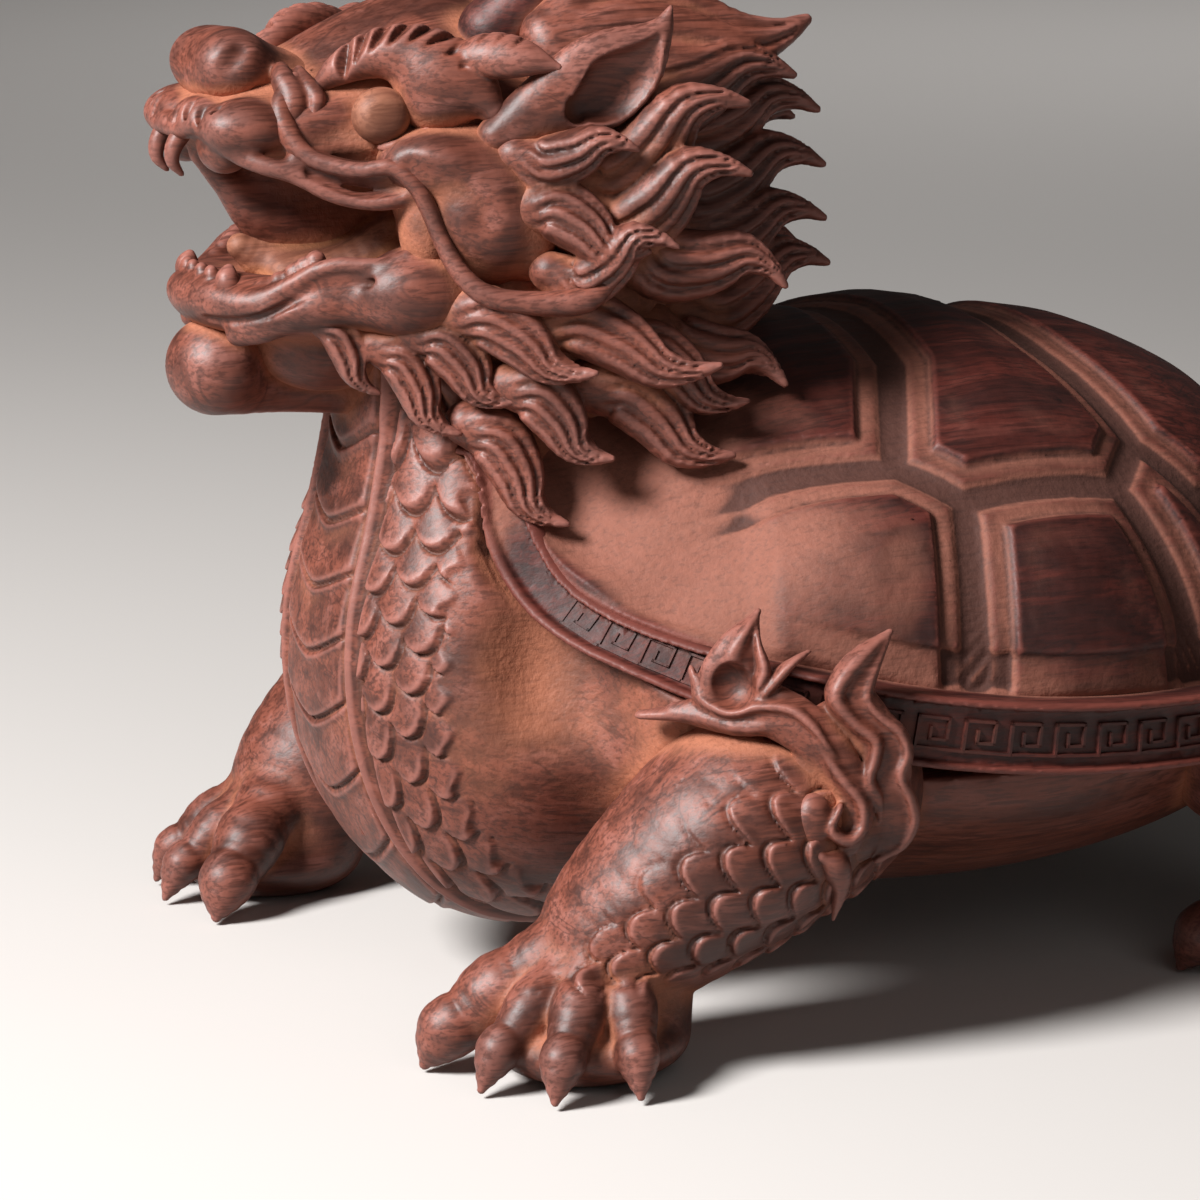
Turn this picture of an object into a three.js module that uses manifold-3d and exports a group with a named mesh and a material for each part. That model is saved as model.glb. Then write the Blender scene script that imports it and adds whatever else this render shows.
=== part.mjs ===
// A dragon turtle ornament in carved rosewood, built up from glued and dowelled blocks.
// Millimetres, +Z up. The turtle looks along -Y and its left side is +X.
// The origin is on the floor, under the middle of the figure.
import * as THREE from "three";
import { mergeVertices } from "three/addons/utils/BufferGeometryUtils.js";
import Module from "manifold-3d";

const wasm = await Module();
wasm.setup();

// Driving dimensions
const GLUE_GAP = 0.3; // glue line between neighbouring blocks
const FLOOR_Z = 0;

const SHELL_HALF_WIDTH = 47; // outside of the rim band
const SHELL_HALF_LENGTH = 55;
const SHELL_TOP_Z = 66.5;
const RIM_MID_Z = 29; // middle of the rim band along the flanks and the rear
const RIM_HEIGHT = 7;
const RIM_THICKNESS = 4.5;
const COLLAR_TOP = 29; // how far the rim climbs to the neck in all
const COLLAR_RISE = 17; // the even part of that climb, spread over the front half
const COLLAR_REACH = 5; // how close to the rim the dome turns up into the collar

const BELLY_DEPTH = 18; // underbody below the carapace's seat
const BELLY_HALF_WIDTH = 38;
const BELLY_HALF_LENGTH = 47;

const NECK_Y = -46; // axis of the upright neck
const BREAST_Z = 34; // height of the chest's fullest point
const BREAST_RADIUS = 18.6; // from its axis to the front
const THROAT_RADIUS = 12.5;
const SHOULDER_RADIUS = 13.5;

const HEAD_Y = -50; // centre of the cranium
const HEAD_Z = 88;
const CRANIUM_HALF_WIDTH = 15.5;
const CRANIUM_HALF_LENGTH = 15;
const CRANIUM_HALF_HEIGHT = 12;
const MUZZLE_LENGTH = 27; // from the cranium's centre to the upper lip's front
const JAW_DROP = 14.5; // from the cranium's centre down to the jaw's middle
const JAW_LENGTH = 25.5;
const EYE_RADIUS = 3;
const HORN_LENGTH = 26;
const HORN_RADIUS = 3.4;
const EAR_LENGTH = 16;
const MANE_RADIUS = 21;
const LOCK_WIDTH = 4.4; // half width of a mane lock at its fullest
const LOCK_THICKNESS = 2.4;

const LEG_RADIUS = 11; // at the shoulder or the hip
const ANKLE_RADIUS = 8.2;
const FOOT_RADIUS = 9;
const TOE_RADIUS = 3.3;
const TOE_LENGTH = 18; // from the ankle's axis to the longest claw's tip
const FRONT_INSET = 13; // from the rim's outside in to the ankles
const HIND_INSET = 11;
const HIP_INSET = 17; // from the belly's rear end forward to the hips
const RIGHT_FOREFOOT_STEP = 4; // the right forefoot stands this much further out and forward
const TAIL_RADIUS = 6.5;
const TAIL_LENGTH = 24;

const DOWEL_RADIUS = 2;
const LEG_DOWEL_LENGTH = 20;
const NECK_DOWEL_LENGTH = 28;
const TAIL_DOWEL_LENGTH = 16;

const ROSEWOOD = 0x6e4438;
const POLISHED = 0x57302a;
const BARE = 0xa87452;
const DOWEL_BIRCH = 0xcaa678;

// Solids from three.js geometry
const X_AXIS = new THREE.Vector3(1, 0, 0);
const Z_AXIS = new THREE.Vector3(0, 0, 1);
const ROUND_END = 4; // the higher, the blunter a limb's rounded ends

function solid(geometry) {
  geometry.deleteAttribute("normal");
  geometry.deleteAttribute("uv");
  const merged = mergeVertices(geometry, 1e-4);
  const corners = merged.index.array;
  const triVerts = [];
  for (let i = 0; i < corners.length; i += 3) {
    const [a, b, c] = corners.slice(i, i + 3);
    if (a !== b && b !== c && c !== a) triVerts.push(a, b, c);
  }
  const vertProperties = merged.getAttribute("position").array;
  const build = (triangles) =>
    new wasm.Manifold(new wasm.Mesh({ numProp: 3, vertProperties, triVerts: Uint32Array.from(triangles) }));
  const made = build(triVerts);
  return made.volume() > 0 ? made : build(triVerts.reverse());
}

function geometryOf(manifold) {
  const mesh = manifold.getMesh();
  const flat = new Float32Array(mesh.numVert * 3);
  for (let i = 0; i < mesh.numVert; i++) {
    flat.set(mesh.vertProperties.subarray(i * mesh.numProp, i * mesh.numProp + 3), i * 3);
  }
  const geometry = new THREE.BufferGeometry();
  geometry.setAttribute("position", new THREE.BufferAttribute(flat, 3));
  geometry.setIndex(new THREE.BufferAttribute(mesh.triVerts, 1));
  geometry.computeVertexNormals();
  return geometry;
}

const joined = (shapes) => shapes.reduce((all, next) => all.add(next));

// What is left of a block after its neighbours are cut out of it, without the offcuts.
function mainBody(manifold) {
  return manifold.decompose().reduce((best, next) => (next.volume() > best.volume() ? next : best));
}

function ellipsoid([x, y, z], [rx, ry, rz], grow, segments = 12) {
  const ball = new THREE.SphereGeometry(1, segments, Math.round(segments * 0.6));
  ball.rotateX(Math.PI / 2);
  ball.scale(rx + grow, ry + grow, rz + grow);
  ball.translate(x, y, z);
  return solid(ball);
}

// A round-ended limb through stations [x, y, z, radius]. Its section is an ellipse, `wide` times
// the radius along the direction `across` and the radius itself at right angles to that.
function limb(stations, grow, { sides = 8, rings = 7, wide = 1, across = X_AXIS } = {}) {
  const path = new THREE.CatmullRomCurve3(stations.map(([x, y, z]) => new THREE.Vector3(x, y, z)));
  const radiusAt = (t) => {
    const place = t * (stations.length - 1);
    const before = Math.min(Math.floor(place), stations.length - 2);
    return THREE.MathUtils.lerp(stations[before][3], stations[before + 1][3], place - before);
  };
  const tube = new THREE.SphereGeometry(1, sides, rings);
  const position = tube.getAttribute("position");
  for (let i = 0; i < position.count; i++) {
    const polar = Math.acos(THREE.MathUtils.clamp(position.getY(i), -1, 1));
    const turn = Math.atan2(position.getX(i), position.getZ(i));
    const t = (1 - Math.cos(polar)) / 2;
    const fromMiddle = 2 * t - 1;
    const rounding = Math.sqrt(Math.max(0, 1 - Math.abs(fromMiddle) ** ROUND_END));
    const along = path.getTangent(t);
    const wideWay = across.clone().addScaledVector(along, -across.dot(along)).normalize();
    const thinWay = new THREE.Vector3().crossVectors(along, wideWay);
    const radius = radiusAt(t);
    const point = path.getPoint(t).addScaledVector(along, grow * fromMiddle);
    point.addScaledVector(wideWay, (radius * wide + grow) * rounding * Math.cos(turn));
    point.addScaledVector(thinWay, (radius + grow) * rounding * Math.sin(turn));
    position.setXYZ(i, point.x, point.y, point.z);
  }
  return solid(tube);
}

// A straight dowel centred on a point.
function dowel([x, y, z], direction, length, grow) {
  const DOWEL_SIDES = 10;
  const rod = new THREE.CylinderGeometry(DOWEL_RADIUS + grow, DOWEL_RADIUS + grow, length + 2 * grow, DOWEL_SIDES);
  rod.applyQuaternion(new THREE.Quaternion().setFromUnitVectors(new THREE.Vector3(0, 1, 0), direction));
  rod.translate(x, y, z);
  return solid(rod);
}

// Everything above a level, or below it.
function halfSpace(level, above) {
  const REACH = 6 * SHELL_HALF_LENGTH;
  const box = new THREE.BoxGeometry(REACH, REACH, REACH);
  box.translate(0, 0, level + (above ? REACH / 2 : -REACH / 2));
  return solid(box);
}

// The other side's copy of a list of stations.
const onSide = (side, stations) => stations.map(([x, ...rest]) => [side * x, ...rest]);

// The shell: a dome and a rim band over one oval plan, both climbing to a collar at the neck
const RIM_BOTTOM_Z = RIM_MID_Z - RIM_HEIGHT / 2;
const RIM_TOP_Z = RIM_MID_Z + RIM_HEIGHT / 2;
const PLAN_STRETCH = SHELL_HALF_LENGTH / SHELL_HALF_WIDTH;

// How far the shell climbs to the collar, at a radius of the unstretched plan and a place ahead in it.
function collarLift(radius, ahead) {
  const EVEN_POWER = 4;
  const STEEP_POWER = 60; // the last of the climb, beside the neck
  const STEEP_RISE = 100;
  const facing = radius > 0 ? (1 + ahead / radius) / 2 : 0;
  const climb = COLLAR_RISE * facing ** EVEN_POWER + STEEP_RISE * facing ** STEEP_POWER;
  const insideRim = SHELL_HALF_WIDTH - RIM_THICKNESS - 1;
  const nearRim = Math.min(1, radius / insideRim) ** COLLAR_REACH;
  return Math.min(COLLAR_TOP, climb) * nearRim;
}

function onShellPlan(profile, segments) {
  const turned = new THREE.LatheGeometry(profile, segments);
  const position = turned.getAttribute("position");
  for (let i = 0; i < position.count; i++) {
    const [across, height, ahead] = [position.getX(i), position.getY(i), position.getZ(i)];
    const lift = collarLift(Math.hypot(across, ahead), ahead);
    position.setXYZ(i, across, -ahead * PLAN_STRETCH, height + lift);
  }
  return solid(turned);
}

// The seams between the shields on the left half of the dome, in plan, as shares of the shell's half width and half
// length: round the middle shields first, then across between them, then out to the rim.
const SHIELD_SEAMS = [
  [[0.58, -0.51], [0.65, -0.23], [0.74, -0.13], [0.72, 0.19], [0.61, 0.28], [0.68, 0.38], [0.62, 0.62], [0.34, 0.72], [0, 0.74]],
  [[0.65, -0.23], [0.36, -0.11], [0, -0.07]],
  [[0.61, 0.28], [0.32, 0.22], [0, 0.2]],
  [[0.74, -0.13], [0.86, -0.17]],
  [[0.72, 0.19], [0.84, 0.26]],
  [[0.68, 0.38], [0.76, 0.48]],
  [[0.62, 0.62], [0.61, 0.64]],
  [[0.34, 0.72], [0.32, 0.8]],
];

// A groove in the dome along one stretch of a seam, from a place in the plan to another.
function shieldGroove(from, to) {
  const DEPTH = 2;
  const BREADTH = 2; // half width of the groove over its depth
  const OVERRUN = 2.5; // so that neighbouring stretches run into each other
  const foot = SHELL_HALF_WIDTH - RIM_THICKNESS;
  const rise = SHELL_TOP_Z - RIM_TOP_Z;
  const over = to.clone().sub(from).setLength(OVERRUN);
  const [start, end] = [from.clone().sub(over), to.clone().add(over)];
  const stations = [0, 0.5, 1].map((t) => {
    const { x, y } = start.clone().lerp(end, t);
    const radius = Math.hypot(x, y / PLAN_STRETCH);
    const height = rise * Math.sqrt(Math.max(0, 1 - (radius / foot) ** 2));
    return [x, y, RIM_TOP_Z + height + collarLift(radius, -y / PLAN_STRETCH), DEPTH];
  });
  const [x, y, z] = stations[1];
  const upright = new THREE.Vector3(x / foot ** 2, y / (foot * PLAN_STRETCH) ** 2, (z - RIM_TOP_Z) / rise ** 2);
  const along = new THREE.Vector3(end.x - start.x, end.y - start.y, stations[2][2] - stations[0][2]);
  return limb(stations, 0, { sides: 6, rings: 5, wide: BREADTH, across: along.cross(upright).normalize() });
}

function carapaceShape(grow) {
  const DOME_STEPS = 7;
  const SEGMENTS = 26;
  const foot = SHELL_HALF_WIDTH - RIM_THICKNESS + grow;
  const dome = SHELL_TOP_Z - RIM_TOP_Z + grow;
  const profile = [new THREE.Vector2(0, RIM_BOTTOM_Z - grow), new THREE.Vector2(foot / 2, RIM_BOTTOM_Z - grow)];
  profile.push(new THREE.Vector2(foot, RIM_BOTTOM_Z - grow));
  for (let i = 0; i <= DOME_STEPS; i++) {
    const angle = (i / DOME_STEPS) * (Math.PI / 2);
    profile.push(new THREE.Vector2(i === DOME_STEPS ? 0 : foot * Math.cos(angle), RIM_TOP_Z + dome * Math.sin(angle)));
  }
  const block = onShellPlan(profile, SEGMENTS);
  if (grow > 0) return block; // the neighbours keep clear of the dome as it is before the grooves are cut
  const grooves = [];
  for (const side of [-1, 1]) {
    for (const seam of SHIELD_SEAMS) {
      const line = seam.map(([u, v]) => new THREE.Vector2(side * u * SHELL_HALF_WIDTH, v * SHELL_HALF_LENGTH));
      line.slice(1).forEach((end, i) => grooves.push(shieldGroove(line[i], end)));
    }
  }
  return block.subtract(joined(grooves));
}

function rimBandShape(grow) {
  const SEGMENTS = 32;
  const LIP = 0.2; // share of the band's height that its rounded outer edge takes at top and bottom
  const inside = SHELL_HALF_WIDTH - RIM_THICKNESS - grow;
  const outside = SHELL_HALF_WIDTH + grow;
  const [low, high] = [RIM_BOTTOM_Z - grow, RIM_TOP_Z + grow];
  const bevel = LIP * RIM_HEIGHT;
  const profile = [
    [inside, low],
    [outside - bevel, low],
    [outside, low + bevel],
    [outside, high - bevel],
    [outside - bevel, high],
    [inside, high],
    [inside, low],
  ].map(([r, z]) => new THREE.Vector2(r, z));
  return onShellPlan(profile, SEGMENTS);
}

// The body below the shell, and the chest with the neck
function underbodyShape(grow) {
  const SEGMENTS = 18;
  const bowl = ellipsoid([0, 0, RIM_BOTTOM_Z], [BELLY_HALF_WIDTH, BELLY_HALF_LENGTH, BELLY_DEPTH], grow, SEGMENTS);
  return bowl.intersect(halfSpace(RIM_BOTTOM_Z - GLUE_GAP + grow, false));
}

function chestShape(grow) {
  const breast = ellipsoid(
    [0, NECK_Y + 2.4, BREAST_Z],
    [BREAST_RADIUS * 1.37, BREAST_RADIUS, BREAST_RADIUS * 1.45],
    grow,
    16,
  );
  const keel = ellipsoid([0, NECK_Y + 11, RIM_BOTTOM_Z - 3], [BREAST_RADIUS, BREAST_RADIUS, BELLY_DEPTH - 2], grow, 12);
  const neck = limb(
    [
      [0, NECK_Y, BREAST_Z, BREAST_RADIUS * 0.9],
      [0, NECK_Y, (BREAST_Z + HEAD_Z) / 2 - 8, THROAT_RADIUS * 1.1],
      [0, NECK_Y, (BREAST_Z + HEAD_Z) / 2 + 4, THROAT_RADIUS],
      [0, NECK_Y + 2, HEAD_Z - 4, THROAT_RADIUS * 0.8],
    ],
    grow,
    { sides: 12, rings: 7, wide: 1.25 },
  );
  const shoulders = [-1, 1].map((side) =>
    ellipsoid(
      [side * SHOULDER_RADIUS * 1.55, NECK_Y + 14, BREAST_Z - 2],
      [SHOULDER_RADIUS, SHOULDER_RADIUS, SHOULDER_RADIUS],
      grow,
      10,
    ),
  );
  return joined([breast, keel, neck, ...shoulders]);
}

// The head, in places measured from the cranium's centre: left, back and up
const head = (x, y, z, radius) => [x, HEAD_Y + y, HEAD_Z + z, radius];
const headPoint = (x, y, z) => [x, HEAD_Y + y, HEAD_Z + z];

function skullShape(grow) {
  const cranium = ellipsoid(
    headPoint(0, 0, 0),
    [CRANIUM_HALF_WIDTH, CRANIUM_HALF_LENGTH, CRANIUM_HALF_HEIGHT],
    grow,
    14,
  );
  const muzzle = limb(
    [head(0, 2, -1, 8.5), head(0, -10, -1, 6.5), head(0, -20, -1, 4.6), head(0, -MUZZLE_LENGTH, -1.5, 3.2)],
    grow,
    { sides: 10, rings: 8, wide: 1.9 },
  );
  const lip = limb(
    [head(-8, -MUZZLE_LENGTH + 6, -2.5, 2.6), head(0, -MUZZLE_LENGTH + 0.5, -2, 3), head(8, -MUZZLE_LENGTH + 6, -2.5, 2.6)],
    grow,
    { sides: 7, rings: 8, across: Z_AXIS },
  );
  return joined([cranium, muzzle, lip]);
}

function lowerJawShape(grow) {
  const floorOfMouth = limb(
    [
      head(0, 4, -JAW_DROP - 1, 5),
      head(0, -8, -JAW_DROP - 2, 4.4),
      head(0, -JAW_LENGTH + 7, -JAW_DROP - 1.5, 3.4),
      head(0, -JAW_LENGTH, -JAW_DROP - 0.5, 3),
    ],
    grow,
    { sides: 10, rings: 8, wide: 2.7 },
  );
  return floorOfMouth;
}

function tongueShape(grow) {
  return limb(
    [
      head(0, -4, -JAW_DROP + 5, 3.4),
      head(0, -12, -JAW_DROP + 4.6, 2.8),
      head(0, -18, -JAW_DROP + 4.2, 2),
      head(0, -22, -JAW_DROP + 4.6, 1.2),
    ],
    grow,
    { sides: 8, rings: 6, wide: 2.4 },
  );
}

function chinBossShape(grow) {
  const boss = ellipsoid(headPoint(0, -JAW_LENGTH + 3.8, -22.6), [5.6, 4.4, 4.6], grow, 10);
  const strap = limb(
    [head(0, -JAW_LENGTH + 5, -23.5, 4.2), head(0, -14, -26, 4.4), head(0, -6, -25, 4.6)],
    grow,
    { sides: 8, rings: 6, wide: 1.5 },
  );
  return boss.add(strap);
}

function noseShape(grow) {
  const lobes = [-1, 1].map((side) => ellipsoid(headPoint(side * 4.2, -21, 4.6), [5.2, 5.2, 5], grow, 10));
  return joined(lobes);
}

const eyeShape = (side) => (grow) =>
  ellipsoid(headPoint(side * 13, -8.8, 1.6), [EYE_RADIUS, EYE_RADIUS, EYE_RADIUS], grow, 10);

const browShape = (side) => (grow) =>
  limb(
    onSide(side, [head(7, -15, 4.5, 2.2), head(11.5, -8.5, 8.6, 3.2), head(15, -3, 8, 3.2), head(17.5, 1, 3.5, 1.8)]),
    grow,
    { sides: 6, rings: 7 },
  );

const cheekShape = (side) => (grow) => ellipsoid(headPoint(side * 14.5, 0, -8), [6.5, 6.4, 8], grow, 10);

const whiskerShape = (side) => (grow) =>
  limb(
    onSide(side, [
      head(8.5, -19, 1, 1.8),
      head(11.5, -15, -4.5, 1.5),
      head(14.5, -8, -6.5, 1.4),
      head(17.5, -3, -11, 1.4),
      head(20, 3, -14.5, 1.5),
      head(23, 9.5, -15, 1.1),
    ]),
    grow,
    { sides: 6, rings: 11, across: Z_AXIS },
  );

const earShape = (side) => (grow) =>
  limb(
    onSide(side, [
      head(17, 3, 1, 3),
      head(20, 3 + EAR_LENGTH * 0.4, 4, 3.4),
      head(22, 3 + EAR_LENGTH * 0.75, 7.5, 2.4),
      head(22.5, 3 + EAR_LENGTH, 9.8, 0.5),
    ]),
    grow,
    { sides: 7, rings: 7, wide: 1.7, across: Z_AXIS },
  );

const hornShape = (side) => (grow) =>
  limb(
    onSide(side, [
      head(9, 4, 9, HORN_RADIUS),
      head(11.5, 4 + HORN_LENGTH * 0.25, 14.5, HORN_RADIUS * 0.85),
      head(13, 4 + HORN_LENGTH * 0.6, 18.5, HORN_RADIUS * 0.6),
      head(12.5, 4 + HORN_LENGTH, 22.5, HORN_RADIUS * 0.15),
    ]),
    grow,
    { sides: 7, rings: 8 },
  );

const fangShape = (side, up) => (grow) => {
  const [rootZ, tipZ] = up ? [-JAW_DROP + 1, -JAW_DROP + 4.5] : [-3.5, -7.5];
  const y = up ? -JAW_LENGTH + 3 : -MUZZLE_LENGTH + 3;
  const x = up ? 5.5 : 6;
  return limb(onSide(side, [head(x, y, rootZ, 1.3), head(x, y, (rootZ + tipZ) / 2, 1), head(x, y - 0.6, tipZ, 0.3)]), grow, {
    sides: 6,
    rings: 6,
  });
};

// The mane: a core round the nape, and tufts of flame-shaped locks that grow out of root strips
const MANE_Y = 12;
const MANE_Z = -11;

const maneCoreShape = (grow) =>
  ellipsoid(headPoint(0, MANE_Y, MANE_Z), [MANE_RADIUS, MANE_RADIUS * 0.76, MANE_RADIUS * 1.2], grow, 14);

// One lock from its root to its tip, bellied sideways by `bow`, flat against the mane.
function lock(side, [x0, y0, z0], [x1, y1, z1], bow, grow) {
  const between = (t, bulge) => [
    THREE.MathUtils.lerp(x0, x1, t) + bulge,
    THREE.MathUtils.lerp(y0, y1, t),
    THREE.MathUtils.lerp(z0, z1, t) - bow * Math.sin(Math.PI * t),
  ];
  const stations = [
    head(...between(0, 0), LOCK_THICKNESS),
    head(...between(0.35, 1.2), LOCK_THICKNESS * 1.1),
    head(...between(0.7, 0.6), LOCK_THICKNESS * 0.75),
    head(...between(1, 0), LOCK_THICKNESS * 0.12),
  ];
  return limb(onSide(side, stations), grow, {
    sides: 6,
    rings: 5,
    wide: LOCK_WIDTH / LOCK_THICKNESS,
    across: Z_AXIS,
  });
}

// A tuft: several locks on one strip that follows their roots.
const tuftShape = (side, locks) => (grow) => {
  const STRIP_RADIUS = 3.2;
  const strip = limb(onSide(side, locks.map(([root]) => head(...root, STRIP_RADIUS))), grow, {
    sides: 6,
    rings: 6,
    across: X_AXIS,
  });
  return joined([strip, ...locks.map(([root, tip, bow]) => lock(side, root, tip, bow, grow))]);
};

// Locks of the left side, each with its root, its tip and its bow.
const TUFTS = {
  mane_upper: [
    [[15, 8, 6], [16.5, 33.5, 9], 1],
    [[21, 10, 0], [24, 25, 2.5], 2],
    [[22.5, 8, -6], [28, 23, -4], 2.5],
  ],
  mane_middle: [
    [[20.5, 6, -5], [25.5, 13, -8], 1],
    [[22, 8, -12], [29, 15, -10.5], 2],
    [[21.5, 13, -15], [26, 27.5, -15], 2.5],
  ],
  mane_rear: [
    [[7, 19, 7], [7, 37.5, 9.5], 2],
    [[11, 21, -1], [12, 36.5, 0.5], 2],
    [[13, 21, -8], [14, 36.5, -5.5], 2],
    [[13.5, 20, -16], [14.5, 37, -15.5], 2],
  ],
  beard: [
    [[12, -7, -17.5], [12.5, -4, -28], 0],
    [[15.5, -4, -17], [18, 1, -27], 0.5],
    [[18.5, 0, -16.5], [25, 6, -23], 1],
  ],
  neck_tuft: [
    [[19.5, 6, -21], [27.5, 18.5, -22], 2],
    [[19, 7, -27], [26, 20, -30], 2],
    [[18, 5, -32], [21, 11, -38], 0],
  ],
};

// Tufts on the middle plane: locks that stand off the crown and hang down the nape.
const MIDDLE_TUFTS = {
  mane_crown: [
    [[0, 7, 11], [0, 24, 17], 1],
    [[0, 16, 12], [0, 34, 13.5], 1.5],
  ],
  mane_nape: [
    [[0, 26, 3], [0, 38, 4], 2],
    [[0, 27.5, -6], [0, 38.5, -7.5], 2],
    [[0, 27, -15], [0, 38, -17], 1.5],
  ],
};

// The legs, from the shoulder or hip to the toes
const TOES = [
  { fan: -45, reach: 1, stout: 1.2 },
  { fan: -13, reach: 0.92, stout: 0.9 },
  { fan: 15, reach: 0.88, stout: 0.9 },
  { fan: 46, reach: 0.75, stout: 0.85 },
];
// Along a toe: the share of its length, its height there, and its share of the toe's radius.
const TOE_FORM = [
  [0.1, 9.8, 1.05],
  [0.36, 9.8, 1],
  [0.64, 7.4, 0.92],
  [0.87, 4.2, 0.72],
  [1, 0.9, 0.15],
];

function legShape(side, thigh, [x, y], yaw) {
  return (grow) => {
    const shin = [
      [x, y + 1, FLOOR_Z + ANKLE_RADIUS * 1.5, ANKLE_RADIUS],
      [x, y, FLOOR_Z + 1.5, ANKLE_RADIUS * 0.85],
    ];
    const upper = limb(onSide(side, [...thigh, ...shin]), grow, { sides: 10, rings: 8 });
    const towards = (fan, far) => {
      const angle = THREE.MathUtils.degToRad(yaw + fan);
      return [x + Math.sin(angle) * far, y - Math.cos(angle) * far];
    };
    const [padX, padY] = towards(0, 4);
    const pad = ellipsoid([side * padX, padY, FLOOR_Z + 3.4], [FOOT_RADIUS, FOOT_RADIUS * 1.05, 3.8], grow, 10);
    const toes = TOES.map(({ fan, reach, stout }) => {
      const stations = TOE_FORM.map(([share, z, radius]) => [
        ...towards(fan, TOE_LENGTH * reach * share),
        FLOOR_Z + z,
        TOE_RADIUS * stout * radius,
      ]);
      return limb(onSide(side, stations), grow, { sides: 6, rings: 6 });
    });
    return joined([upper, pad, ...toes]).intersect(halfSpace(FLOOR_Z - grow, true));
  };
}

const SHOULDER_Y = NECK_Y + 21;
const HIP_Y = BELLY_HALF_LENGTH - HIP_INSET;
const FRONT_STANCE = SHELL_HALF_WIDTH - FRONT_INSET; // the ankles' distance from the middle plane
const HIND_STANCE = SHELL_HALF_WIDTH - HIND_INSET;
const FRONT_YAW = 30;
const RIGHT_FRONT_YAW = 6;
const HIND_YAW = 30;

function frontLegShape(side) {
  const step = side < 0 ? RIGHT_FOREFOOT_STEP : 0;
  const thigh = [
    [FRONT_STANCE - 2, SHOULDER_Y + 9, RIM_BOTTOM_Z, LEG_RADIUS * 0.75],
    [FRONT_STANCE - 1, SHOULDER_Y + 2, RIM_BOTTOM_Z - 0.5, LEG_RADIUS],
    [FRONT_STANCE + 2 + step * 0.4, SHOULDER_Y - 6 - step * 0.4, RIM_BOTTOM_Z - 3, LEG_RADIUS],
    [FRONT_STANCE + 1 + step * 0.8, SHOULDER_Y - 13 - step * 0.8, RIM_BOTTOM_Z - 8, LEG_RADIUS * 0.9],
  ];
  const ankle = [FRONT_STANCE + step, SHOULDER_Y - 19.5 - step];
  return legShape(side, thigh, ankle, side < 0 ? RIGHT_FRONT_YAW : FRONT_YAW);
}

function hindLegShape(side) {
  const thigh = [
    [HIND_STANCE - 7, HIP_Y - 7, RIM_BOTTOM_Z + 1, LEG_RADIUS * 0.75],
    [HIND_STANCE - 3, HIP_Y - 1, RIM_BOTTOM_Z - 1, LEG_RADIUS],
    [HIND_STANCE + 1, HIP_Y + 5, RIM_BOTTOM_Z - 7, LEG_RADIUS * 0.88],
  ];
  return legShape(side, thigh, [HIND_STANCE, HIP_Y + 8], HIND_YAW);
}

// Flame ornaments that lie over the shoulders and hips, against the rim
const flameShape = (side, [x, y, z], scale) => (grow) => {
  const FLATNESS = 0.7; // thickness over width
  const at = (dx, dy, dz, radius) => [x + dx * scale, y + dy * scale, z + dz * scale, radius * scale];
  const tongue = (...stations) => limb(onSide(side, stations), grow, { sides: 6, rings: 7, wide: FLATNESS });
  return joined([
    tongue(at(-9, -18, 4, 1), at(-4.5, -12, 1.5, 3.4), at(-0.5, -5.5, 0, 4), at(1, -0.5, -5, 3.6), at(0, 0, -11, 2.8), at(-2, 0, -19, 0.5)),
    tongue(at(-3.5, -12, 2, 2.4), at(-3, -11.5, 8, 2.8), at(-3, -8.5, 12.5, 0.4)),
    tongue(at(-1.5, -7, 1.5, 2), at(-1, -7, 6.5, 2), at(-0.5, -4.5, 9.5, 0.4)),
    tongue(at(1.5, 3.5, 10, 0.4), at(1.5, -1.5, 4, 2.6), at(2.5, 2.5, -1, 2.6), at(2, 2.5, -7, 2.2), at(0.5, 2, -11.5, 0.8)),
  ]);
};

function tailShape(grow) {
  const rootY = BELLY_HALF_LENGTH - 1;
  const rootZ = RIM_BOTTOM_Z - 4;
  return limb(
    [
      [0, rootY - 2, rootZ, TAIL_RADIUS],
      [0, rootY + TAIL_LENGTH * 0.45, rootZ - 6, TAIL_RADIUS * 0.85],
      [0, rootY + TAIL_LENGTH * 0.85, rootZ - 4, TAIL_RADIUS * 0.65],
      [0, rootY + TAIL_LENGTH, rootZ + 4, TAIL_RADIUS * 0.45],
      [0, rootY + TAIL_LENGTH * 0.9, rootZ + 12, TAIL_RADIUS * 0.1],
    ],
    grow,
    { sides: 8, rings: 9, wide: 1.3 },
  );
}

// Assembly: each block is cut clear of every block that is already in place, by one glue line
const figure = new THREE.Group();
const groups = {};
for (const name of ["joinery", "shell", "body", "head", "mane", "legs"]) {
  groups[name] = new THREE.Group();
  figure.add(groups[name]);
}
groups.head.position.set(0, HEAD_Y, HEAD_Z);

const placed = [];

function touches(a, b) {
  return [0, 1, 2].every((k) => a.min[k] <= b.max[k] && b.min[k] <= a.max[k]);
}

function place(group, name, shape, colour, { roughness = 0.5 } = {}) {
  let block = shape(0);
  const box = block.boundingBox();
  for (const neighbour of placed) {
    if (touches(box, neighbour.boundingBox())) block = block.subtract(neighbour);
  }
  placed.push(shape(GLUE_GAP));
  const material = new THREE.MeshStandardMaterial({ color: colour, roughness, metalness: 0 });
  const geometry = geometryOf(mainBody(block));
  const home = groups[group].position;
  geometry.translate(-home.x, -home.y, -home.z);
  const mesh = new THREE.Mesh(geometry, material);
  mesh.name = name;
  groups[group].add(mesh);
}

const SIDES = { left: 1, right: -1 };
const onBothSides = (make) => Object.entries(SIDES).forEach(([word, side]) => make(word, side));
const DOWEL_LOOK = { roughness: 0.8 };

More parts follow.
